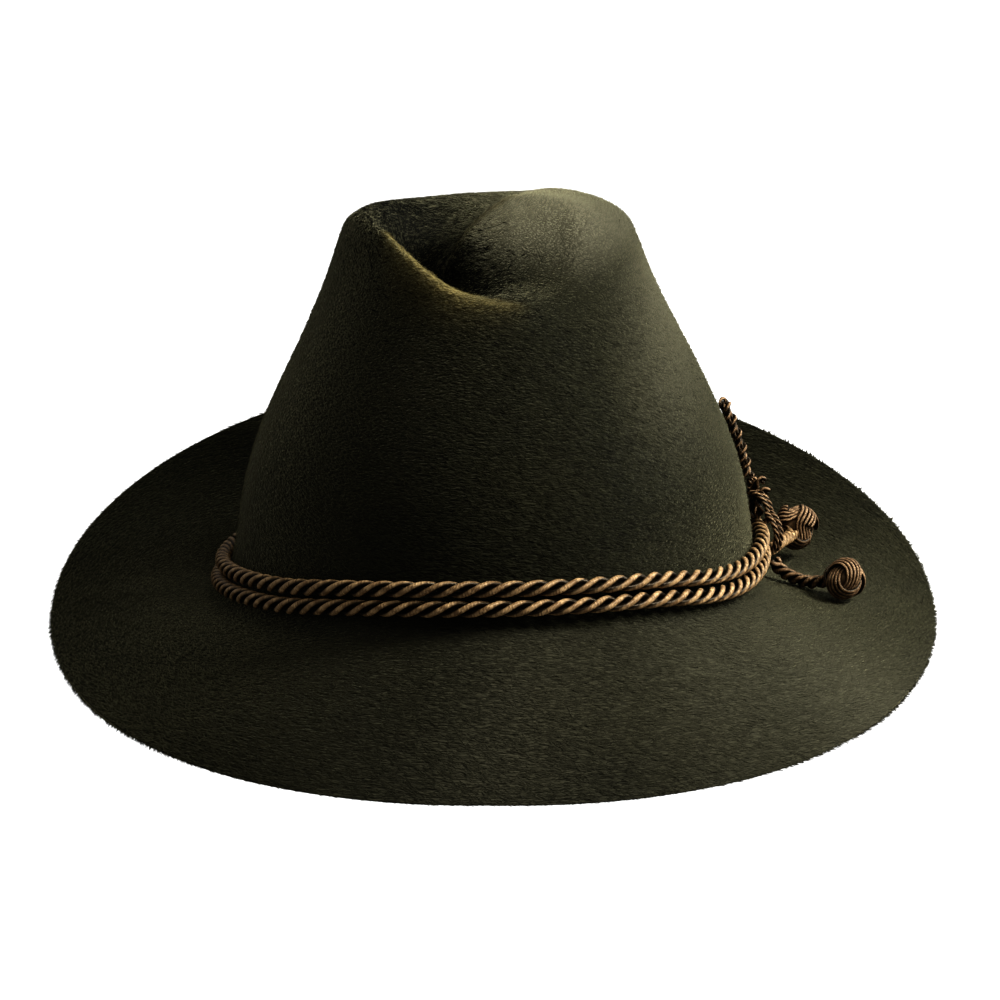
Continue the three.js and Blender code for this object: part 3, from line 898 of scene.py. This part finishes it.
@dataclass
class Line:
    """A cord's or a strand's centre line in millimetres, with the way that faces out of the cord."""

    points: np.ndarray
    outward: np.ndarray
    closed: bool = False

    @classmethod
    def through(cls, route: Sequence[Point], step: float, closed: bool = False) -> "Line":
        """A smooth line through points, sampled evenly.

        Args:
            route: The points.
            step: The distance between samples.
            closed: Whether the line joins up with itself.

        Returns:
            The line, with its outward way carried along without a twist.
        """
        knots = np.array(route, float)
        around = np.concatenate([knots[-1:], knots, knots[:2]]) if closed else np.concatenate(
            [2 * knots[:1] - knots[1:2], knots, 2 * knots[-1:] - knots[-2:-1]]
        )
        pieces = []
        samples_a_piece = 24
        t = np.linspace(0, 1, samples_a_piece, endpoint=False)[:, None]
        for a, b, c, d in zip(around, around[1:], around[2:], around[3:], strict=False):
            square, cube = 2 * a - 5 * b + 4 * c - d, 3 * b - a - 3 * c + d
            pieces.append(0.5 * (2 * b + (c - a) * t + square * t**2 + cube * t**3))
        fine = np.concatenate([*pieces, knots[:1] if closed else knots[-1:]])
        length = np.concatenate([[0], np.cumsum(np.linalg.norm(np.diff(fine, axis=0), axis=1))])
        count = max(int(round(length[-1] / step)), 4)
        even = np.linspace(0, length[-1], count + 1)
        points = np.stack([np.interp(even, length, fine[:, i]) for i in range(3)], axis=1)
        made = cls(points, np.zeros_like(points), closed)
        made.outward = made.carried()
        return made

    def along(self) -> np.ndarray:
        """The way that the line runs.

        Returns:
            A unit vector at each sample.
        """
        if self.closed:
            ring = self.points[:-1]
            ahead = np.roll(ring, -1, axis=0) - np.roll(ring, 1, axis=0)
            return unit(np.concatenate([ahead, ahead[:1]]))
        return unit(np.gradient(self.points, axis=0))

    def distance(self) -> np.ndarray:
        """How far along the line each sample is, in millimetres."""
        return np.concatenate([[0], np.cumsum(np.linalg.norm(np.diff(self.points, axis=0), axis=1))])

    def left_of(self, places: np.ndarray) -> tuple[np.ndarray, np.ndarray]:
        """How far places lie to the left of the line, seen from above.

        Args:
            places: The places, of which the height isn't looked at.

        Returns:
            Their distances, below zero on the line's right, and the height of the line beside each.
        """
        flat = self.points[:, :2]
        ahead = np.gradient(flat, axis=0)
        gaps = places[:, None, :2] - flat[None, :, :]
        nearest = (gaps**2).sum(2).argmin(1)
        gap = gaps[np.arange(len(places)), nearest]
        side = ahead[nearest, 0] * gap[:, 1] - ahead[nearest, 1] * gap[:, 0]
        return np.copysign(np.linalg.norm(gap, axis=1), side), self.points[nearest, 2]

    def carried(self) -> np.ndarray:
        """A way square to the line, carried along it without a twist.

        Returns:
            The unit vectors, which meet up where the line is closed.
        """
        along = self.along()
        start = np.cross(along[0], np.cross(np.array([0.0, 0.0, 1.0]), along[0]))
        if np.linalg.norm(start) < 0.2:
            start = np.cross(along[0], np.array([0.0, 1.0, 0.0]))
        ways = [start / np.linalg.norm(start)]
        for ahead in along[1:]:
            way = ways[-1] - ahead * np.dot(ways[-1], ahead)
            ways.append(way / np.linalg.norm(way))
        carried = np.array(ways)
        if self.closed:
            side = np.cross(along[-1], carried[-1])
            slip = math.atan2(float(np.dot(carried[0], side)), float(np.dot(carried[0], carried[-1])))
            turn = np.linspace(0, slip, len(carried))[:, None]
            carried = carried * np.cos(turn) + np.cross(along, carried) * np.sin(turn)
        return carried

    def shifted(self, out: np.ndarray | float, side: np.ndarray | float) -> "Line":
        """A line beside this one.

        Args:
            out: How far outward, at each sample or all along.
            side: How far sideways, at each sample or all along.

        Returns:
            The line beside, whose outward way faces away from this line.
        """
        aside = np.cross(self.along(), self.outward)
        out = np.broadcast_to(out, len(self.points))[:, None]
        side = np.broadcast_to(side, len(self.points))[:, None]
        move = self.outward * out + aside * side
        made = Line(self.points + move, unit(move + self.outward * 1e-6), self.closed)
        along = made.along()
        made.outward = unit(made.outward - along * (made.outward * along).sum(1)[:, None])
        return made

    def twisted(self, count: int, radius: float, lead: float, lay: Lay, seed: int = 0) -> list["Line"]:
        """The centre lines of strands twisted round this one.

        Args:
            count: How many strands.
            radius: Their centres' distance from this line.
            lead: How far along one whole turn takes.
            lay: Which way they turn.
            seed: Where their slight unevenness starts.

        Returns:
            The strands' lines.
        """
        far = self.distance()
        turns = far / lead
        if self.closed:
            turns = turns / turns[-1] * round(turns[-1])
        share = far / far[-1] * TURN
        drift = sum(0.05 * math.sin(seed + 1.7 * k) * np.sin(share * k + seed * k) for k in (3, 7, 12, 19))
        angle = lay.value * (turns * TURN + drift)
        return [
            self.shifted(radius * np.cos(angle + TURN * k / count), radius * np.sin(angle + TURN * k / count))
            for k in range(count)
        ]


@dataclass
class Strand:
    """One strand of cord: a line with a round section."""

    line: Line
    radius: float
    sides: int = 12
    round_ends: bool = True
    uneven: float = 0.04

    def add_to(self, whole: bmesh.types.BMesh, ply: int) -> None:
        """Adds the strand's skin to a mesh.

        Args:
            whole: The mesh that it joins.
            ply: Its number, which its map keeps beside the way round.
        """
        line = self.line
        rings = len(line.points) - 1
        skin = bmesh.new()
        skin.loops.layers.uv.new("UVMap")
        bmesh.ops.create_grid(skin, x_segments=self.sides, y_segments=rings, size=1.0, calc_uvs=True)
        mesh = mesh_of(skin, "strand")
        flat = (read_rows(mesh.vertices, "co")[:, :2] + 1) / 2
        turn = flat[:, 0] * TURN
        ring = np.rint(flat[:, 1] * rings).astype(int)
        thick = self.thickness()[ring]
        aside = np.cross(line.along(), line.outward)
        section = line.outward[ring] * np.cos(turn)[:, None] + aside[ring] * np.sin(turn)[:, None]
        points = (line.points[ring] + section * thick[:, None]) * MM
        mesh.vertices.foreach_set("co", points.astype(np.float32).ravel())
        layer = mesh.uv_layers["UVMap"]
        mapped = np.zeros(len(mesh.loops) * 2, np.float32)
        layer.data.foreach_get("uv", mapped)
        mapped = mapped.reshape(-1, 2) * np.array([1.0, line.distance()[-1]]) + np.array([float(ply), 0.0])
        layer.data.foreach_set("uv", mapped.astype(np.float32).ravel())
        tube = bmesh.new()
        tube.from_mesh(mesh)
        bmesh.ops.remove_doubles(tube, verts=tube.verts, dist=1e-7)
        if not line.closed:
            bmesh.ops.holes_fill(tube, edges=[edge for edge in tube.edges if edge.is_boundary], sides=0)
        bmesh.ops.recalc_face_normals(tube, faces=tube.faces)
        tube.to_mesh(mesh)
        tube.free()
        whole.from_mesh(mesh)
        bpy.data.meshes.remove(mesh)

    def thickness(self) -> np.ndarray:
        """How thick the strand is, rounded off at free ends.

        Returns:
            Its radius at each sample.
        """
        far = self.line.distance()
        share = far / far[-1] * TURN
        waver = 1 + self.uneven * (np.sin(share * 5 + self.radius * 9) + np.sin(share * 11)) / 2
        thick = self.radius * waver
        if self.round_ends and not self.line.closed:
            near = np.minimum(far, far[-1] - far) / self.radius
            thick = thick * np.sqrt(np.clip(1 - (1 - np.minimum(near, 1)) ** 2, 0.04, 1))
        return thick


@dataclass(frozen=True)
class Twist:
    """Strands twisted round a line: their number, how far out they lie, a turn's length, their radius."""

    count: int
    out: float
    lead: float
    radius: float
    lay: Lay = Lay.RIGHT
    sides: int = 8

    def round(self, line: Line, seed: int) -> list[Strand]:
        """The strands round a line, with their slight unevenness started by a seed."""
        lines = line.twisted(self.count, self.out, self.lead, self.lay, seed)
        return [Strand(each, self.radius, self.sides) for each in lines]


def ease(values: np.ndarray, start: float, end: float) -> np.ndarray:
    """A soft step from 0 at one value to 1 at another."""
    share = np.clip((values - start) / (end - start), 0.0, 1.0)
    return share * share * (3 - 2 * share)


def bell(gap: np.ndarray, reach: np.ndarray | float) -> np.ndarray:
    """A soft share that is 1 where the gap is 0, and fades out over the reach."""
    return np.exp(-((gap / reach) ** 2))


def beside(route: Sequence[Point], places: np.ndarray) -> tuple[np.ndarray, np.ndarray]:
    """How far places lie to the left of a route seen from above, and its height beside each."""
    return Line.through(route, ROUTE_STEP_MM).left_of(places)


def unit(rows: np.ndarray) -> np.ndarray:
    """Each row scaled to a length of one."""
    return rows / np.maximum(np.linalg.norm(rows, axis=-1, keepdims=True), 1e-12)


def read_rows(elements: bpy.types.bpy_prop_collection, name: str) -> np.ndarray:
    """Reads a vector property of every element.

    Args:
        elements: A mesh's vertices, for one.
        name: The property.

    Returns:
        One row for each element.
    """
    rows = np.zeros(len(elements) * 3, np.float32)
    elements.foreach_get(name, rows)
    return rows.reshape(-1, 3).astype(float)


def read_counts(elements: bpy.types.bpy_prop_collection, name: str, each: int = 1) -> np.ndarray:
    """Reads a whole number, or a few, of every element.

    Args:
        elements: A mesh's faces, for one.
        name: The property.
        each: How many numbers it has.

    Returns:
        The numbers, in one row.
    """
    counts = np.zeros(len(elements) * each, np.int32)
    elements.foreach_get(name, counts)
    return counts


def mesh_of(shell: bmesh.types.BMesh, name: str) -> bpy.types.Mesh:
    """Turns a bmesh into a mesh.

    Args:
        shell: The bmesh, which is freed.
        name: The mesh's name.

    Returns:
        The mesh.
    """
    mesh = bpy.data.meshes.new(name)
    shell.to_mesh(mesh)
    shell.free()
    return mesh


def object_of(data: bpy.types.ID, name: str) -> bpy.types.Object:
    """Puts a mesh, a light or a camera in the scene.

    Args:
        data: What the object shows.
        name: The object's name.

    Returns:
        The object.
    """
    made = bpy.data.objects.new(name, data)
    bpy.context.scene.collection.objects.link(made)
    return made


def waves(points: np.ndarray, per_metre: float, seed: int) -> np.ndarray:
    """Soft waves over space, between about -1 and 1.

    Args:
        points: Where they are read, in metres.
        per_metre: How many waves there are to a metre.
        seed: Which waves.

    Returns:
        One value for each point.
    """
    chance = np.random.default_rng(seed)
    total = np.zeros(len(points))
    layers = 7
    for _ in range(layers):
        way = unit(chance.normal(size=3)) * per_metre * chance.uniform(0.6, 1.5) * TURN
        total += np.sin(points @ way + chance.uniform(0, TURN))
    return total / math.sqrt(layers)


def far_from(points: np.ndarray, others: np.ndarray, reach: float) -> np.ndarray:
    """Which points keep clear of some others.

    Args:
        points: The points to test.
        others: The points that they keep clear of.
        reach: The least distance.

    Returns:
        A mask over the points.
    """
    tree = KDTree(len(others))
    for index, other in enumerate(others):
        tree.insert(other, index)
    tree.balance()
    return np.array([tree.find(point)[2] > reach for point in points])


def triangles(name: str, points: np.ndarray, faces: np.ndarray) -> bpy.types.Mesh:
    """A mesh from arrays of points and triangles.

    Args:
        name: The mesh's name.
        points: One row for each vertex.
        faces: Three vertex numbers for each triangle.

    Returns:
        The mesh.
    """
    mesh = bpy.data.meshes.new(name)
    mesh.vertices.add(len(points))
    mesh.vertices.foreach_set("co", points.astype(np.float32).ravel())
    mesh.loops.add(faces.size)
    mesh.loops.foreach_set("vertex_index", faces.astype(np.int32).ravel())
    mesh.polygons.add(len(faces))
    mesh.polygons.foreach_set("loop_start", np.arange(0, faces.size, 3, dtype=np.int32))
    mesh.update(calc_edges=True)
    return mesh


def write_numbers(mesh: bpy.types.Mesh, name: str, values: np.ndarray) -> None:
    """Keeps one number for each vertex under a name."""
    mesh.attributes.new(name, "FLOAT", "POINT").data.foreach_set("value", values.astype(np.float32))


def place(mesh: bpy.types.Mesh, name: str, slot: str, *stands_for: str) -> bpy.types.Object:
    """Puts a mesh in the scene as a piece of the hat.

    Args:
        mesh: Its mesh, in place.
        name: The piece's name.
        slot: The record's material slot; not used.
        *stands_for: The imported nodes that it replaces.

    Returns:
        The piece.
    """
    piece = object_of(mesh, name)
    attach(piece, BODY)
    if stands_for:
        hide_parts(*stands_for)
    return piece


def lay_up(
    name: str, strands: Sequence[Strand], material: bpy.types.Material, node: str
) -> bpy.types.Object:
    """Makes one piece of cord from its strands.

    Args:
        name: The piece's name.
        strands: The strands.
        material: Their finish.
        node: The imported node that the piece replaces.

    Returns:
        The piece.
    """
    whole = bmesh.new()
    for ply, strand in enumerate(strands):
        strand.add_to(whole, ply)
    mesh = mesh_of(whole, name)
    mesh.shade_smooth()
    mesh.materials.append(material)
    piece = place(mesh, name, "cord", node)
    log.info("%s: %d strands, %d faces", name, len(strands), len(mesh.polygons))
    return piece


@dataclass
class CordBand:
    """The two rounds of three-stranded cord at the foot of the crown."""

    material: bpy.types.Material
    nodes: dict[str, str] = field(default_factory=lambda: {
        "band_round_upper": "cord_band_upper", "band_round_lower": "cord_band_lower",
    })
    twist: Twist = Twist(3, 1.53, 19.3, 0.95, sides=12)
    sections: int = 60
    step: float = 0.62
    rounds: list[Line] = field(default_factory=list)

    def middle(self, node: str) -> list[Point]:
        """The centre line of a packed round, from the middles of its sections.

        Args:
            node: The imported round.

        Returns:
            The points in millimetres, anticlockwise from the back.
        """
        corners = np.unique(np.round(read_rows(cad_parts[node].data.vertices, "co") / MM, 3), axis=0)
        order = np.argsort(np.arctan2(corners[:, 0], -corners[:, 1]))
        rings = corners[order].reshape(self.sections, -1, 3)
        return [tuple(ring.mean(0)) for ring in rings]

    def build(self) -> None:
        """Makes both rounds."""
        for seed, (name, node) in enumerate(self.nodes.items()):
            line = Line.through(self.middle(node), self.step, closed=True)
            self.rounds.append(line)
            lay_up(name, self.twist.round(line, seed + 1), self.material, node)


@dataclass
class Knotwork:
    """The knotted cord on the wearer's left: loop, plait, bights and tails. Millimetres."""

    material: bpy.types.Material
    tail_material: bpy.types.Material
    step: float = 0.45
    loop_twist: Twist = Twist(2, 0.50, 12.0, 0.56, Lay.LEFT)
    plait_twist: Twist = Twist(3, 0.56, 9.0, 0.56)
    plait_lead: float = 10.5
    plait_width: float = 2.3
    plait_depth: float = 1.0
    plait_forward: float = 0.4
    stub_twist: Twist = Twist(2, 0.56, 9.0, 0.62)
    bight_twist: Twist = Twist(3, 0.48, 6.5, 0.46)
    bight_apart: float = 0.95
    upper_tail_twist: Twist = Twist(3, 1.15, 9.0, 1.0, sides=10)
    lower_tail_twist: Twist = Twist(3, 1.15, 12.0, 1.0, sides=10)
    loop_route: tuple[Point, ...] = (
        (81.9, 15.2, 45.5), (79.3, 16.3, 55), (76.5, 17.6, 62.9), (74.7, 18.6, 67.2), (74, 20.2, 68.7),
        (73.7, 22.7, 68.2), (74.1, 23.7, 66.2), (75.7, 23.4, 61.7), (78.6, 22.3, 53.8), (81, 20.7, 45.1),
    )
    plait_route: tuple[Point, ...] = (
        (82.9, 17.2, 44.6), (83.3, 16.6, 40.5), (83.7, 15.6, 36), (83.9, 14.6, 31.5),
    )
    stub_routes: tuple[tuple[Point, ...], ...] = (
        ((82.6, 13.5, 40.8), (83.8, 11.8, 43.6), (85.4, 10.8, 46.4), (87.0, 11.0, 45.2)),
        ((84.6, 11.6, 41.2), (86.6, 10.4, 43.0), (88.2, 10.2, 42.0)),
        ((81.4, 14.0, 41.8), (84.2, 10.3, 39.8), (85.6, 9.8, 36.2), (84.2, 11.2, 32.6)),
        ((85.2, 12.0, 39.6), (82.8, 11.0, 36.4), (82.9, 10.9, 33.4), (85.6, 10.6, 30.6)),
    )
    upper_bight_route: tuple[Point, ...] = (
        (82.8, 11.4, 42.0), (85.2, 9, 41.8), (87.7, 8, 38.6), (88.3, 8, 34.8), (86.6, 8.8, 31.8),
    )
    lower_bight_route: tuple[Point, ...] = (
        (87.6, 5.6, 37.0), (89.5, 2.9, 35.2), (90.9, 1.7, 31.4), (90.6, 1.9, 27.4), (89.2, 3.2, 24.2),
    )
    upper_tail_route: tuple[Point, ...] = (
        (87.8, 8.4, 23.4), (89.9, 11.0, 22.8), (92.4, 16.2, 23.0), (96.0, 25, 21.8), (97.6, 29, 21.8),
    )
    lower_tail_route: tuple[Point, ...] = (
        (90.2, 9.6, 19.8), (91.7, 7.9, 17.2), (96, 2.6, 15.9), (101, -2.5, 16.2), (106, -6.6, 18),
    )

    def build(self) -> None:
        """Makes every piece of the knotwork."""
        lay_up("knot_loop", self.loop(), self.material, "cord_loop")
        lay_up("knot_plait", self.plait(), self.material, "cord_plait")
        lay_up("bight_upper", self.bight(self.upper_bight_route), self.material, "knot_bight_upper")
        lay_up("bight_lower", self.bight(self.lower_bight_route), self.material, "knot_bight_lower")
        upper_tail = self.upper_tail_twist.round(Line.through(self.upper_tail_route, self.step), 2)
        lay_up("tail_cord_upper", upper_tail, self.tail_material, "tail_upper")
        lower_tail = self.lower_tail_twist.round(Line.through(self.lower_tail_route, self.step), 2)
        lay_up("tail_cord_lower", lower_tail, self.material, "tail_lower")

    def loop(self) -> list[Strand]:
        """Two strands, each of two plies, twisted up one side of the loop and down the other.

        Returns:
            The plies.
        """
        pair = Line.through(self.loop_route, self.step).twisted(2, 1.04, 9.6, Lay.LEFT, 3)
        return [ply for strand in pair for ply in self.loop_twist.round(strand, 2)]

    def plait(self) -> list[Strand]:
        """Three strands of three plies that go over and under each other, with the stubs beside them.

        Returns:
            The plies, and after them two little ends at the top and two strands that cross in front.
        """
        line = Line.through(self.plait_route, self.step)
        swing = line.distance() / self.plait_lead * TURN
        strands = []
        for k in range(3):
            phase = swing + TURN * k / 3
            out = self.plait_depth * np.sin(2 * phase) + self.plait_forward
            strand = line.shifted(out, self.plait_width * np.sin(phase))
            strand.outward = line.outward
            strands += self.plait_twist.round(strand, k)
        for k, route in enumerate(self.stub_routes):
            strands += self.stub_twist.round(Line.through(route, self.step), k)
        return strands

    def bight(self, route: Sequence[Point]) -> list[Strand]:
        """Two strands side by side along a route, each of three plies.

        Args:
            route: The points that the bight's middle line goes through.

        Returns:
            The plies.
        """
        line = Line.through(route, self.step)
        pair = (line.shifted(0.0, -self.bight_apart), line.shifted(0.0, self.bight_apart))
        return [ply for strand in pair for ply in self.bight_twist.round(strand, 1)]


@dataclass
class BallKnot:
    """A ball knot: bundles of strands that go over and under each other round a ball. Millimetres.

    The plies' spacing and the core's depth are counted in radii of a ply.
    """

    name: str
    node: str
    material: bpy.types.Material
    facing: Point
    radius: float = 7.0
    leads: int = 3
    bights: int = 4
    plies: int = 5
    ply_radius: float = 0.58
    ply_spacing: float = 2.02
    core_depth: float = 2.1
    uneven: float = 0.03
    reach: float = math.radians(54)
    weave: float = 0.9
    stretch: float = 1.0
    raised: float = 0.0
    steps: int = 420

    def build(self) -> bpy.types.Object:
        """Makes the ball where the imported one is.

        Returns:
            The ball's object.
        """
        low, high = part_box(self.node)
        centre = np.array((low + high) / 2) / MM + np.array([0.0, 0.0, self.raised])
        spin = np.array(Vector(self.facing).to_track_quat("Z", "Y").to_matrix())
        strands = []
        t = np.linspace(0, TURN, self.steps + 1)
        for ply in range(self.plies):
            aside = (ply - (self.plies - 1) / 2) * self.ply_radius * self.ply_spacing
            line = self.wound(t, aside, centre, spin)
            strands.append(Strand(line, self.ply_radius, 8, uneven=self.uneven))
        whole = lay_up(self.name, strands, self.material, self.node)
        self.add_core(whole, centre)
        return whole

    def wound(self, t: np.ndarray, aside: float, centre: np.ndarray, spin: np.ndarray) -> Line:
        """The closed line of one ply.

        Args:
            t: The way round, from 0 to a whole turn.
            aside: How far the ply lies from its bundle's middle.
            centre: The ball's middle.
            spin: The ball's own turn.

        Returns:
            The ply's line.
        """
        turn = self.leads * t
        tilt = self.reach * np.cos(self.bights * t)
        height = self.weave * np.sin(2 * self.bights * t)
        out = np.stack([np.cos(tilt) * np.cos(turn), np.cos(tilt) * np.sin(turn), np.sin(tilt)], axis=1)
        middle = Line(out * (self.radius - self.ply_radius - self.weave), out, closed=True)
        out = unit(middle.points + np.cross(middle.along(), out) * aside)
        reach = self.radius - self.ply_radius - self.weave + height
        stretch = np.array([1.0, 1.0, self.stretch])
        return Line(out * reach[:, None] @ spin.T * stretch + centre, out @ spin.T, closed=True)

    def add_core(self, whole: bpy.types.Object, centre: np.ndarray) -> None:
        """Adds the wound core that shows between the bundles.

        Args:
            whole: The ball's object.
            centre: The ball's middle.
        """
        core = bmesh.new()
        core.from_mesh(whole.data)
        radius = self.radius - self.core_depth * self.ply_radius - self.weave
        moved = Matrix.Translation(Vector(centre * MM))
        bmesh.ops.create_icosphere(core, subdivisions=3, radius=radius * MM, matrix=moved, calc_uvs=True)
        core.to_mesh(whole.data)
        core.free()
        whole.data.shade_smooth()


@dataclass(frozen=True)
class Lamp:
    """A round soft light: where it hangs, how wide it is, and its power and colour."""

    name: str
    spot: Point
    width_m: float
    watts: float
    colour: Colour = (1.0, 1.0, 1.0)

    def hang(self, aim: Vector) -> None:
        """Hangs the light.

        Args:
            aim: What it points at.
        """
        data = bpy.data.lights.new(self.name, "AREA")
        data.shape = "DISK"
        data.size = self.width_m
        data.energy = self.watts
        data.color = self.colour
        lamp = object_of(data, self.name)
        lamp.location = self.spot
        lamp.rotation_euler = (Vector(self.spot) - aim).to_track_quat("Z", "Y").to_euler()


@dataclass
class Studio:
    """The pale floor, the soft lights and the camera."""

    floor_half_m: float = 4.0
    floor_drop_mm: float = 0.4
    floor_tone: Colour = (0.22, 0.22, 0.22)
    floor_glow: float = 0.90
    lamps: tuple[Lamp, ...] = (
        Lamp("key_light", (0.42, -0.10, 0.40), 0.20, 5.4, (1.0, 0.98, 0.93)),
        Lamp("side_light", (0.8, 0.5, 0.35), 0.3, 1.8, (0.95, 1.0, 1.0)),
        Lamp("top_light", (0.20, -0.05, 0.9), 0.4, 1.7, (1.0, 0.95, 0.80)),
    )
    lit_point: Point = (0.0, 0.0, 0.07)
    sky: float = 0.27
    camera_elevation: float = math.radians(17.3)
    camera_distance_m: float = 1.2
    sensor_mm: float = 36.0
    lens_mm: float = 137.4
    aimed_aside: float = math.radians(0.105)
    aimed_below: float = math.radians(1.32)

    def build(self) -> None:
        """Makes the floor, the lights and the camera."""
        self.floor()
        self.lights()
        self.camera()

    def floor(self) -> None:
        """A plain pale floor that glows softly, as a lit table does."""
        sheet = bmesh.new()
        bmesh.ops.create_grid(sheet, x_segments=1, y_segments=1, size=self.floor_half_m)
        floor = object_of(mesh_of(sheet, "floor"), "floor")
        floor.location.z = -self.floor_drop_mm * MM
        floor.visible_diffuse = False
        floor.visible_glossy = False
        paint = Paint("pale_floor")
        paint.settle(
            Base_Color=self.floor_tone, Roughness=0.9, Specular_IOR_Level=0.0,
            Emission_Color=(1.0, 1.0, 1.0), Emission_Strength=self.floor_glow,
        )
        floor.data.materials.append(paint.material)

    def lights(self) -> None:
        """A key and a side light from the right, a warm light from above and a dim pale sky."""
        for lamp in self.lamps:
            lamp.hang(Vector(self.lit_point))
        world = bpy.data.worlds.new("pale_studio")
        world.use_nodes = True
        sky = world.node_tree.nodes["Background"]
        sky.inputs["Color"].default_value = (1.0, 1.0, 1.0, 1.0)
        sky.inputs["Strength"].default_value = self.sky
        bpy.context.scene.world = world

    def camera(self) -> None:
        """A camera in front of the hat at the photograph's angle."""
        low, high = cad_box
        centre = (low + high) / 2
        back = Vector((0.0, -math.cos(self.camera_elevation), math.sin(self.camera_elevation)))
        data = bpy.data.cameras.new("camera")
        data.lens = self.lens_mm
        data.sensor_width = self.sensor_mm
        camera = object_of(data, "camera")
        camera.location = centre + back * self.camera_distance_m
        turned = back.to_track_quat("Z", "Y").to_matrix().to_4x4()
        aimed = Matrix.Rotation(-self.aimed_aside, 4, "Y") @ Matrix.Rotation(-self.aimed_below, 4, "X")
        camera.matrix_world = Matrix.Translation(camera.location) @ turned @ aimed
        bpy.context.scene.camera = camera
        bpy.context.scene.view_settings.view_transform = "Standard"
        bpy.context.scene.view_settings.look = "High Contrast"


def main() -> None:
    """Builds the studio, the cords, the felt and its nap in turn."""
    Studio().build()
    silk = SilkCordFinish().material()
    # The knots' finish is darker, with painted shade over more of each strand.
    fine_silk = SilkCordFinish(
        "fine_silk_cord", brown=(0.100, 0.057, 0.030), gold=(0.46, 0.31, 0.18),
        groove_shade_to=0.45, unshaded_from=0.98,
    ).material()
    band = CordBand(silk)
    band.build()
    Knotwork(fine_silk, silk).build()
    BallKnot(
        "ball_knot_upper", "end_knot_upper", fine_silk, (-0.3, -0.88, 0.36), 7.5,
        leads=2, bights=3, stretch=1.14, raised=1.0,
    ).build()
    BallKnot("ball_knot_lower", "end_knot_lower", fine_silk, (-0.15, -0.9, 0.40), leads=3, bights=2).build()
    felt = FeltBody(VelourFinish())
    surface = Surface.of(felt.build())
    cords = np.concatenate([line.points[::2] for line in band.rounds]) * MM
    for region in nap_regions():
        region.build(surface, cords, felt)


def nap_regions() -> tuple[Nap, ...]:
    """The regions of the nap, each with its count of strands and its own seed.

    Returns:
        The regions in the order in which they are made.
    """
    shoulder = 0.118
    crown = {"length_mm": 2.8, "lift": 0.17}
    brim = {"length_mm": 3.0, "width_mm": 0.40, "lift": 0.16}
    # Extra strands with painted shade in the dent's hollow.
    flat = {"length_mm": 3.2, "width_mm": 0.5, "lift": 0.1, "only_shaded": True}
    edge = {"length_mm": 1.8, "outward": 0.9, "lift": 0.9}
    return (
        Nap("nap_crown_wall", Zone.NAPPED, lambda p: on_crown(p) & (p[:, 2] < shoulder),
            49000, 11, width_mm=0.42, outward=0.4, **crown),
        Nap("nap_crown_top", Zone.NAPPED, lambda p: on_crown(p) & (p[:, 2] >= shoulder),
            17000, 12, width_mm=0.40, swept_back=1.1, **crown),
        Nap("nap_hollow", Zone.NAPPED, in_dent, 24000, 17, **flat),
        Nap("nap_brim_front", Zone.NAPPED, lambda p: ~on_crown(p) & (p[:, 1] < 0.0), 36000, 13, **brim),
        Nap("nap_brim_back", Zone.NAPPED, lambda p: ~on_crown(p) & (p[:, 1] >= 0.0), 28000, 14, **brim),
        Nap("nap_under_brim", Zone.UNDERSIDE, lambda p: ~on_crown(p), 12000, 15, length_mm=2.4),
        Nap("nap_cut_edge", Zone.CUT_EDGE, lambda p: np.ones(len(p), bool), 7000, 16, **edge),
    )


def in_dent(points: np.ndarray) -> np.ndarray:
    """Which points of the felt lie round the dent in the top of the crown."""
    right, left, foot = -0.048, 0.022, 0.100
    return on_crown(points) & (points[:, 2] > foot) & (points[:, 0] < left) & (points[:, 0] > right)


def on_crown(points: np.ndarray) -> np.ndarray:
    """Which points of the felt lie on the crown, inside the line of the cord band."""
    half_width, half_length, middle = 0.086, 0.107, -0.002
    return (points[:, 0] / half_width) ** 2 + ((points[:, 1] - middle) / half_length) ** 2 < 1.0


if __name__ == "__main__":
    main()
